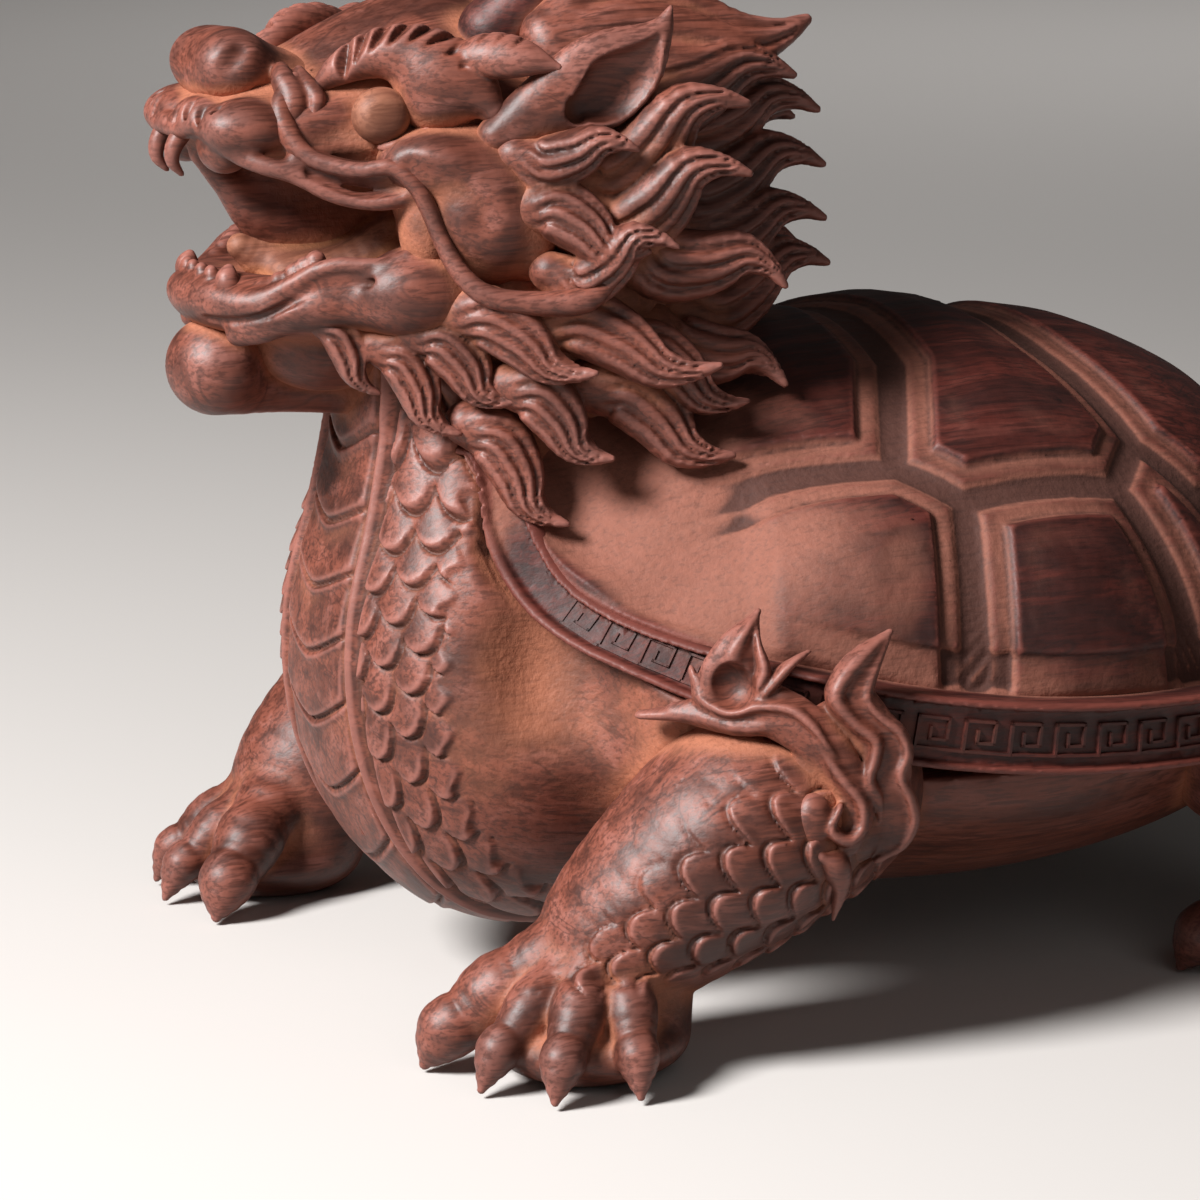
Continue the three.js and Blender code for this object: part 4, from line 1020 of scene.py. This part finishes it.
# Cheeks
# Big rounded cheek bosses of rosewood, glued on behind the mouth. Two gouge cuts dish each of them, in
# front and below the eye.
cheek = Block([6, -66, 68], [29, -38, 96], 0.25)
cheek.add(ball([15.4, -49.6, 80.6], [6.6, 6.6, 7.8]))
cheek.add(ball([15.0, -54.0, 85.0], [5.4, 6.0, 3.4]), 1.5)
cheek.add(ball([18.0, -46.2, 80.2], [3.6, 3.0, 6.8]), 1.0)
cheek.cut(limb([[19.0, -58.5, 84.6, 1.0], [21.6, -55.0, 82.8, 1.5], [22.6, -52.6, 80.6, 1.3],
                [21.8, -53.8, 78.2, 0.7]], 12), 1.6)
cheek.cut(limb([[20.6, -54.0, 87.4, 0.6], [22.6, -50.0, 86.0, 0.9], [22.8, -46.0, 85.6, 0.6]], 10), 1.2)
carve_pair("cheek", cheek)

# Whiskers
# A thin ridge of rosewood, glued on from beside the nose along the upper lip, round the mouth's corner
# and under the cheek, where it ends in a curl.
WHISKER = [
    [8.4, -65.9, 92.6, 0.7], [9.2, -67.4, 91.0, 1.0], [10.2, -68.0, 89.2, 1.2],
    [11.8, -67.1, 86.6, 1.0], [13.2, -65.4, 85.2, 0.85], [15.2, -62.2, 84.5, 0.75],
    [16.6, -59.5, 84.8, 0.8], [17.6, -57.6, 83.2, 0.85], [18.2, -56.3, 80.6, 0.85],
    [18.8, -55.4, 78.0, 0.85], [20.0, -54.0, 74.9, 0.95], [21.4, -51.6, 72.7, 1.05],
    [22.6, -47.0, 71.9, 1.2], [24.0, -42.9, 72.2, 1.3], [24.6, -40.4, 73.8, 0.6],
]
whisker = Block([3, -74, 66], [30, -36, 98], 0.25)
whisker.add(limb(WHISKER, 44))
carve_pair("whisker", whisker, carved_rosewood)

# Lower jaw
# The jaw in rosewood, glued to the skull and hollowed inside: a thin raised lip with small teeth behind
# it, a fine groove outside it and a round muscle at the corner.
LOWER_LIP = [
    [0, -73.6, 71.6, 1.6], [4, -73.0, 71.5, 1.6], [7.2, -71.5, 71.4, 1.4], [9.4, -69.6, 72.0, 1.1],
    [11, -67.4, 73.4, 0.9], [12.2, -65.6, 74.7, 0.8], [13.2, -63.8, 75.3, 0.8],
    [14.2, -61.8, 75.3, 0.8], [15.2, -59.6, 75.2, 0.9], [16.0, -57.8, 76.2, 0.6],
]
jaw = Block([0, -82, 60], [26, -38, 88], 0.25)
jaw.add(ball([0, -60, 71], [14.5, 15, 4.4]))
jaw.add(ball([0, -52, 72], [17, 9, 6.2]), 3)
jaw.add(ball([0, -70.5, 71.4], [7, 3.8, 2.8]), 2)
jaw.add(ball([14.6, -55.6, 72.6], [4.6, 6.4, 4.4]), 2.5)
jaw.add(ball([0, -60, 66.5], [6.5, 9, 5.5]), 2)
jaw.cut(ball([0, -62.5, 77.3], [11.4, 10.8, 4.8]), 1.5)
for drop, inset, stout in ((1.5, 0.4, 0.9), (3.0, 0.8, 1.3)):
    fold = [[x - inset, y + 0.4 * inset, z - drop, stout] for x, y, z, r in LOWER_LIP[2:9]]
    jaw.add(limb(fold, 20), 0.8)
jaw.cut(limb([[x + 0.8, y - 0.5, z - 1.5, 0.5] for x, y, z, r in LOWER_LIP[1:9]], 20), 0.4)
jaw.add(limb(LOWER_LIP, 40), 0.5)
for share in np.linspace(0.16, 0.56, 8):
    x, y, z, r = sampled(LOWER_LIP, 101)[round(share * 100)]
    jaw.add(ball([x - 1.5, y + 0.6, z + 0.8], [0.9, 1.0, 1.0]), 0.5)
for x, y in ((1.2, -73.0), (3.3, -72.8)):
    jaw.add(ball([x, y, 73.4], [0.9, 0.8, 1.3]), 0.25)
carve_out("lower_jaw", jaw.mirrored())

# Tongue
# A tongue of bare rosewood, glued low in the jaw, with a groove along its middle and its tip curled
# up.
tongue = Block([0, -76, 66], [14, -46, 86], 0.27)
tongue.add(limb([[0, -52, 75.5, 4.5], [0, -59, 74.0, 3.2], [0, -65, 74.0, 2.4],
                 [0, -68.6, 75.8, 1.3]], 12))
tongue.add(limb([[5, -52, 75.5, 4.5], [4.5, -59, 73.6, 2.6], [3, -65, 73.2, 1.6]], 10), 2)
tongue.cut(limb([[0, -50, 81, 1.0], [0, -59, 77.8, 0.9], [0, -67, 75.6, 0.5]], 8), 0.8)
carve_out("tongue", tongue.mirrored(), bare_rosewood)

# Chin boss
# A smooth round chin of rosewood, glued on under the jaw by the narrow neck of wood that runs back from
# it to the throat.
chin = Block([0, -82, 50], [14, -46, 74], 0.27)
chin.add(ball([0, -71.4, 64.3], [5.4, 4.7, 4.8]))
chin.add(limb([[0, -68, 62.4, 3.0], [0, -63.5, 61.6, 2.4], [0, -58, 61.4, 2.8],
               [0, -51, 62, 4.6]], 12), 1.6)
carve_out("chin_boss", chin.mirrored())

# Fangs
# Four small fangs of rosewood, glued in: a hooked pair under the upper lip and a blunter pair on the
# jaw.
upper_fang = Block([-1, -82, 78], [10, -68, 92], 0.2)
upper_fang.add(limb([[2.4, -75.0, 87.6, 1.0], [2.3, -76.0, 86.0, 0.85], [2.2, -76.1, 84.6, 0.65],
                     [2.1, -75.2, 83.4, 0.3]], 10))
carve_pair("upper_fang", upper_fang)
lower_fang = Block([0, -80, 68], [11, -64, 82], 0.2)
lower_fang.add(limb([[5.6, -71.6, 72.2, 1.4], [5.6, -72.0, 73.4, 1.2], [5.5, -71.8, 74.4, 0.6]], 8))
carve_pair("lower_fang", lower_fang)

# Ears
# Leaf-shaped ears of rosewood, glued to the skull and laid back along the mane. Each is hollowed with
# a gouge.
EAR_FACE = [1, -0.35, -0.1]
ear = Block([8, -56, 78], [34, -26, 108], 0.25)
EAR_LEAF = [[18.4, -49.5, 87.6, 1.8, 2.0], [20, -45.2, 90.0, 3.4, 2.2], [21.4, -40.8, 92.2, 4.6, 2.1],
            [22.4, -37.2, 94.6, 3.7, 1.7], [22.9, -34.6, 97.2, 1.4, 1.0], [23.0, -33.6, 99.2, 0.3, 0.4]]
EAR_HOLLOW = [[22.2, -42.6, 90.2, 1.6, 1.6], [23.2, -40.0, 91.6, 3.2, 2.2],
              [24.0, -37.4, 93.8, 2.6, 2.0], [24.2, -35.4, 96.4, 0.6, 0.8]]
ear.add(ribbon(EAR_LEAF, EAR_FACE))
ear.cut(ribbon(EAR_HOLLOW, EAR_FACE), 0.3)
carve_pair("ear", ear)

# Horns
# Smooth swept-back horns of polished rosewood, glued to the crown between the ears and rubbed to a
# shine.
horn = Block([2, -50, 90], [22, -14, 116], 0.27)
horn.add(limb([[9.5, -46, 96.5, 3.4], [11.5, -39.5, 102.5, 2.9], [13, -30.5, 106.5, 2.0],
               [12.5, -20.5, 110, 0.5]], 24))
carve_pair("horn", horn, polished_rosewood)

# Mane
# Flame-shaped locks of rosewood, glued in rows round the nape. Each is grooved into strands and drawn
# out to a point, over a core that shows between them as rough tooled ground.
core = Block([0, -58, 46], [25, -18, 106], 0.5)
core.add(ball([0, -38, 77], [20.5, 15, 24]))
core.add(ball([0, -44, 68], [19.5, 12, 12]), 4)
core.emboss(lambda x, y, z: 0.25 * np.sin(2.1 * y + 1.3 * z) * np.sin(1.7 * z - 0.8 * y))
carve_out("mane_core", core.mirrored())

LOCK_SWAY = 0.09  # of a lock's length
# Along a lock: the share of its length, and its shares of the full width and thickness.
LOCK_FORM = ((0, 0.7, 1.0), (0.2, 1.0, 1.15), (0.45, 0.95, 1.0), (0.68, 0.66, 0.8), (0.87, 0.32, 0.5),
             (1, 0.1, 0.2))


def lock(root, tip, out, width=3.6, thick=2.0, sway=1.0, strands=4):
    """One lock from root to tip, which sways in an S across its face."""
    start, end = np.array(root, float), np.array(tip, float)
    along = end - start
    length = np.linalg.norm(along)
    across = unit(np.cross(np.array(out, float), along))
    stations = []
    for t, wide, deep in LOCK_FORM:
        spot = start + along * t + across * sway * LOCK_SWAY * length * math.sin(2 * math.pi * t)
        stations.append([*spot, width * wide, thick * deep])
    return ribbon(stations, out, strands, 0.5, 20)


def tuft(locks, step_size=0.28):
    """A tuft of locks: each is a root, a tip, the way its face looks, and its own sizes."""
    ends = np.array([spot for one in locks for spot in one[:2]], float)
    block = Block(ends.min(0) - 8, ends.max(0) + 8, step_size)
    for root, tip, out, *sizes in locks:
        block.add(lock(root, tip, out, *sizes), 0.3)
    return block


SIDE = [1, 0.15, 0]
DOWN_SIDE = [0.9, 0, -0.4]
BACK = [0.8, 0.5, 0.2]
UPRIGHT = [1, 0.05, 0]
NAPE = [0.9, 0.4, 0.1]
# Each lock: its root, its tip, the way its face looks, then its width, thickness, sway and strands.
TUFTS = {
    "mane_upper": [
        [[15, -42, 95], [16.4, -15.8, 97.0], [0.8, 0.2, 0.4], 6.0, 3.0, 0.7, 3],
        [[17, -38, 91], [19, -18.6, 92.0], [0.9, 0.3, 0.2], 4.6, 2.6, -0.9],
        [[19, -43, 82.4], [25.2, -26.6, 90.2], SIDE, 4.4, 2.6, -1.3],
        [[19.6, -42, 78.6], [27.4, -27.4, 83.8], SIDE, 4.0, 2.5, -1.4],
    ],
    "mane_middle": [
        [[19.6, -48, 85.6], [25.4, -38.2, 86.4], SIDE, 2.9, 2.2, -0.9],
        [[20, -47.4, 80.8], [26.6, -37.6, 76.8], SIDE, 3.3, 2.3, 0.9],
        [[20.6, -45, 74.6], [28.4, -35.4, 77.4], SIDE, 2.8, 2.1, -1.5],
        [[20.4, -36.5, 77.4], [25.6, -22.6, 72.6], SIDE, 3.8, 2.4, -1.2],
    ],
    "mane_rear": [
        [[12, -32, 87], [14.4, -13.6, 88.0], BACK, 4.2, 2.6, -1.1],
        [[14, -32, 81], [14.6, -13.0, 82.6], BACK, 4.2, 2.5, -1.1],
        [[15, -31, 76], [15.4, -13.2, 77.4], BACK, 3.8, 2.4, -1.0],
        [[15, -30, 70], [14.6, -12.4, 72.8], BACK, 4.2, 2.5, -1.1],
        [[17, -33, 68.4], [22.2, -20.8, 62.4], BACK, 3.6, 2.3, -1.1],
    ],
    "beard": [
        [[10.6, -64.6, 70], [13, -59.6, 62.8], DOWN_SIDE, 2.2, 1.9, 0.9, 3],
        [[12.4, -59.4, 67.4], [17, -53.0, 59.0], DOWN_SIDE, 2.7, 2.1, 1.0],
        [[14.6, -56.6, 68.8], [20.4, -48.4, 62.4], DOWN_SIDE, 3.1, 2.2, 1.1],
        [[17, -53.4, 70.6], [25.6, -42.6, 65.4], DOWN_SIDE, 3.2, 2.2, 0.9],
        [[19.6, -46.4, 69.4], [27.4, -30.4, 65.6], SIDE, 3.6, 2.3, 0.9],
    ],
    "neck_tuft": [
        [[15.2, -51.4, 59.6], [21.2, -43.6, 50.2], DOWN_SIDE, 3.2, 2.2, 1.0],
        [[18.6, -48.4, 63.6], [24.2, -40.2, 56.8], DOWN_SIDE, 3.2, 2.2, 1.0],
        [[19.6, -40.6, 63.2], [25.4, -28.0, 56.4], SIDE, 3.8, 2.3, 1.0],
        [[19.6, -37.5, 66.5], [25.6, -26.6, 61.6], SIDE, 3.2, 2.2, 1.0],
    ],
}
for name, locks in TUFTS.items():
    carve_pair(name, tuft(locks))

# Tufts that lie on the middle plane. A lock beside that plane has another like it on the right.
MIDDLE_TUFTS = {
    "mane_crown": [
        [[0, -45, 97], [0, -28, 105], UPRIGHT, 4.2, 2.8, -0.8],
        [[4.5, -40, 97], [5, -22, 102], [0.9, 0.1, 0.5], 4.0, 2.6, -0.8],
        [[0, -36, 97], [0, -17, 99.5], UPRIGHT, 4.2, 2.8, -0.8],
    ],
    "mane_nape": [
        [[0, -28, 91], [0, -12.4, 92.5], UPRIGHT, 4.2, 3.0, -1.0],
        [[6, -27, 85], [6.5, -12.4, 86.5], NAPE, 4.2, 2.8, -1.0],
        [[0, -26, 79.5], [0, -11.4, 80], UPRIGHT, 4.2, 3.0, -1.0],
        [[7, -26, 73], [7.5, -12.4, 74], NAPE, 4.0, 2.8, -1.0],
        [[0, -25, 67], [0, -11.4, 68], UPRIGHT, 4.0, 2.8, -1.0],
    ],
}
for name, locks in MIDDLE_TUFTS.items():
    both = list(locks)
    for root, tip, out, width, thick, sway in locks:
        if root[0]:
            there = [[-place[0], *place[1:]] for place in (root, tip, out)]
            both.append([*there, width, thick, -sway])
    carve_out(name, tuft(both, 0.3))

# Dowels
# Plain birch dowels, glued into the bores between the big blocks and hidden once those are closed.
# Birch is pale and dull, with a fine fibre.
BIRCH_FIBRE = 0.8  # mm
birch = bpy.data.materials.new("birch_dowel")
birch.use_nodes = True
tree = birch.node_tree
skin = tree.nodes["Principled BSDF"]
place = add_node(tree, "ShaderNodeTexCoord").outputs["Object"]
spread = {"Vector": place, "Scale": 1 / (BIRCH_FIBRE * MM), "Detail": 3.0}
fibre = add_node(tree, "ShaderNodeTexNoise", spread).outputs["Fac"]
tints = {"Factor": fibre, 6: hex_colour("#b8935f"), 7: hex_colour("#d6b98a")}
tint = add_node(tree, "ShaderNodeMix", tints, data_type="RGBA").outputs[2]
tree.links.new(tint, skin.inputs["Base Color"])
skin.inputs["Roughness"].default_value = 0.75
for name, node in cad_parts.items():
    if "dowel" in name:
        node.data.materials.clear()
        node.data.materials.append(birch)

# Dust, wear and painted light
# Hands polish the high places and dust settles in the low ones. Each piece gets two measures of
# its surface: how deep a place lies in the whole figure, and how sharply it is cut. The wood's colours
# from these measures also paint highlights on high places and edges, shade in cuts and bounce light in
# hollows.
COARSE = 0.6  # mm between the whole figure's grid points
FIGURE_LOW = np.array([-56.0, -84.0, -4.0])
FIGURE_HIGH = np.array([56.0, 80.0, 116.0])
WIDE_DEPTH = 3.0  # mm from the surface that count for the hollows
WIDE_CELLS = 4  # coarse grid cells each way that they are evened over
FINE_DEPTH = 1.5  # mm from the surface that count for the tool cuts
FINE_REACH = 0.6  # mm each way that they are evened over
count = np.ceil((FIGURE_HIGH - FIGURE_LOW) / COARSE).astype(int)
whole = np.full(count, FAR, np.float32)
for piece, block, flipped in carvings:
    ends = np.array([block.low, block.low + block.step * (np.array(block.field.shape) - 1)])
    if flipped:
        ends[:, 0] = -ends[::-1, 0]
    first = np.clip(np.ceil((ends[0] - FIGURE_LOW) / COARSE).astype(int), 0, count)
    last = np.clip(np.floor((ends[1] - FIGURE_LOW) / COARSE).astype(int) + 1, 0, count)
    lines = [FIGURE_LOW[k] + COARSE * np.arange(first[k], last[k]) for k in range(3)]
    if flipped:
        lines[0] = -lines[0]
    places = [np.round((lines[k] - block.low[k]) / block.step).astype(int) for k in range(3)]
    picks = [np.clip(places[k], 0, block.field.shape[k] - 1) for k in range(3)]
    part = tuple(map(slice, first, last))
    whole[part] = np.minimum(whole[part], block.field[np.ix_(*picks)])


def blurred(field, cells):
    """The mean of a field over a cube of cells each way."""
    for axis in range(3):
        before = np.repeat(field.take([0], axis), cells + 1, axis)
        after = np.repeat(field.take([-1], axis), cells, axis)
        total = np.cumsum(np.concatenate([before, field, after], axis), axis, dtype=np.float32)
        size = field.shape[axis]
        span = 2 * cells + 1
        field = (total.take(range(span, span + size), axis) - total.take(range(size), axis)) / span
    return field


def sampled_at(field, places):
    """A field's values at fractional grid places."""
    base = np.clip(np.floor(places).astype(int), 0, np.array(field.shape) - 2)
    f = np.clip(places - base, 0, 1)
    value = 0
    for corner in range(8):
        step_to = np.array([corner >> k & 1 for k in range(3)])
        weight = np.prod(np.where(step_to, f, 1 - f), axis=1)
        value = value + weight * field[tuple((base + step_to).T)]
    return value


# Places that were left dry, as the gouge made them, and painted paler as if more light fell there: the piece,
# then a centre on the left side, half sizes and how dry and lit.
DRY_AND_LIT_PLACES = [
    ("chest", (22.5, -51, 40), (5, 6, 15), 0.6),  # beside the collar
    ("chest", (31, -44, 30), (6, 6, 7), 0.25),  # ahead of the shoulder
    ("carapace", (20, -38, 52), (12, 11, 8), 0.8),  # the saddle behind the neck
    ("carapace", (34, -26, 44), (13, 14, 12), 0.5),  # the front plate
    ("front_leg", (37, -33, 33), (7, 7, 3), 0.5),  # under the flame
    ("skull", (13, -58.5, 78), (5, 6, 5), 1.0),  # the mouth's pocket
]
around = blurred(np.clip(whole, -WIDE_DEPTH, WIDE_DEPTH), WIDE_CELLS)
for piece, block, flipped in carvings:
    corners = np.empty(3 * len(piece.data.vertices), np.float32)
    piece.data.vertices.foreach_get("co", corners)
    spots = corners.reshape(-1, 3) / MM - FIGURE_AT
    deep = -sampled_at(around, (spots - FIGURE_LOW) / COARSE)
    # Each listed place adds dry wood and painted light to the hollow measure, so it takes the paler dust
    # colour.
    for owner, centre, half, dry_and_lit in DRY_AND_LIT_PLACES:
        if piece.name.startswith(owner):
            away = (np.abs(spots) * [1, 0, 0] + spots * [0, 1, 1] - centre) / half
            deep = deep + dry_and_lit * np.exp(-(away**2).sum(1))
    if flipped:
        spots = spots * np.array([-1, 1, 1])
    cells = max(1, round(FINE_REACH / block.step))
    fine = blurred(np.clip(block.field, -FINE_DEPTH, FINE_DEPTH), cells)
    cut = -sampled_at(fine, (spots - block.low) / block.step)
    for name, value in (("hollow", deep), ("groove", cut)):
        attribute = piece.data.attributes.new(name, "FLOAT", "POINT")
        attribute.data.foreach_set("value", value.astype(np.float32))

# Studio
# A pale floor and an even, weak surround. One soft lamp stands ahead of the turtle and above it, a weak
# one at the camera's side, and a third faces away from it and lights the floor behind.
FLOOR_HALF = 3.0  # metres
floor_corners = [(FLOOR_HALF * x, FLOOR_HALF * y, 0) for x, y in ((-1, -1), (1, -1), (1, 1), (-1, 1))]
floor_mesh = bpy.data.meshes.new("floor")
floor_mesh.from_pydata(floor_corners, [], [(0, 1, 2, 3)])
floor = bpy.data.objects.new("floor", floor_mesh)
bpy.context.scene.collection.objects.link(floor)
pale = bpy.data.materials.new("pale_studio_floor")
pale.use_nodes = True
floor_shader = pale.node_tree.nodes["Principled BSDF"]
floor_shader.inputs["Roughness"].default_value = 0.7
# The eye and reflections see a pale floor, and it throws back no more light than a mid-grey one.
rays = add_node(pale.node_tree, "ShaderNodeLightPath").outputs
seen = rays["Is Camera Ray"]
for ray in ("Is Glossy Ray", "Is Transmission Ray"):
    either = {0: seen, 1: rays[ray]}
    seen = add_node(pale.node_tree, "ShaderNodeMath", either, operation="MAXIMUM").outputs[0]
tints = {"Factor": seen, 6: hex_colour("#7a746f"), 7: hex_colour("#cfcac6")}
floor_colour = add_node(pale.node_tree, "ShaderNodeMix", tints, data_type="RGBA").outputs[2]
pale.node_tree.links.new(floor_colour, floor_shader.inputs["Base Color"])
floor.data.materials.append(pale)


def soft_lamp(name, spot, aim, size, watts):
    """A round lamp of a size in metres, aimed at a place."""
    lamp = bpy.data.lights.new(name, "AREA")
    lamp.shape = "DISK"
    lamp.size = size
    lamp.energy = watts
    holder = bpy.data.objects.new(name, lamp)
    holder.location = spot
    holder.rotation_euler = (Vector(aim) - Vector(spot)).to_track_quat("-Z", "Y").to_euler()
    bpy.context.scene.collection.objects.link(holder)


soft_lamp("key_lamp", (0.15, -0.6, 0.51), (0, -0.03, 0.06), 0.26, 13)
soft_lamp("fill_lamp", (0.9, -0.1, 0.5), (0, 0, 0.05), 0.7, 0.8)
soft_lamp("backdrop_lamp", (-0.75, 0.55, 0.7), (-1.5, 1.0, 0), 0.6, 3)
surround = bpy.data.worlds.new("surround")
bpy.context.scene.world = surround
surround.use_nodes = True
sky = surround.node_tree.nodes["Background"].inputs
sky["Color"].default_value = hex_colour("#d9d6d3")
sky["Strength"].default_value = 0.08
bpy.context.scene.view_settings.view_transform = "Standard"

# Camera
# It stands ahead of the turtle's left side, a little above it, with a long lens. Its angle, direction
# and place were worked out from the photograph.
HALF_PICTURE, FOCAL_LENGTH = 600, 4700  # in pixels of the photograph
AZIMUTH, ELEVATION = math.radians(65.29), math.radians(12.13)
CAMERA_AT = (424.4, -225.6, 137.8)  # mm, from the shell's centre on the floor
lens = bpy.data.cameras.new("camera")
lens.sensor_fit = "HORIZONTAL"
lens.angle = 2 * math.atan(HALF_PICTURE / FOCAL_LENGTH)
lens.clip_start = 0.02
camera = bpy.data.objects.new("camera", lens)
level = math.cos(ELEVATION)
back = Vector((math.sin(AZIMUTH) * level, -math.cos(AZIMUTH) * level, math.sin(ELEVATION)))
camera.rotation_euler = back.to_track_quat("Z", "Y").to_euler()
camera.location = (Vector(CAMERA_AT) + Vector(FIGURE_AT)) * MM
bpy.context.scene.collection.objects.link(camera)
bpy.context.scene.camera = camera

bpy.context.view_layer.update()
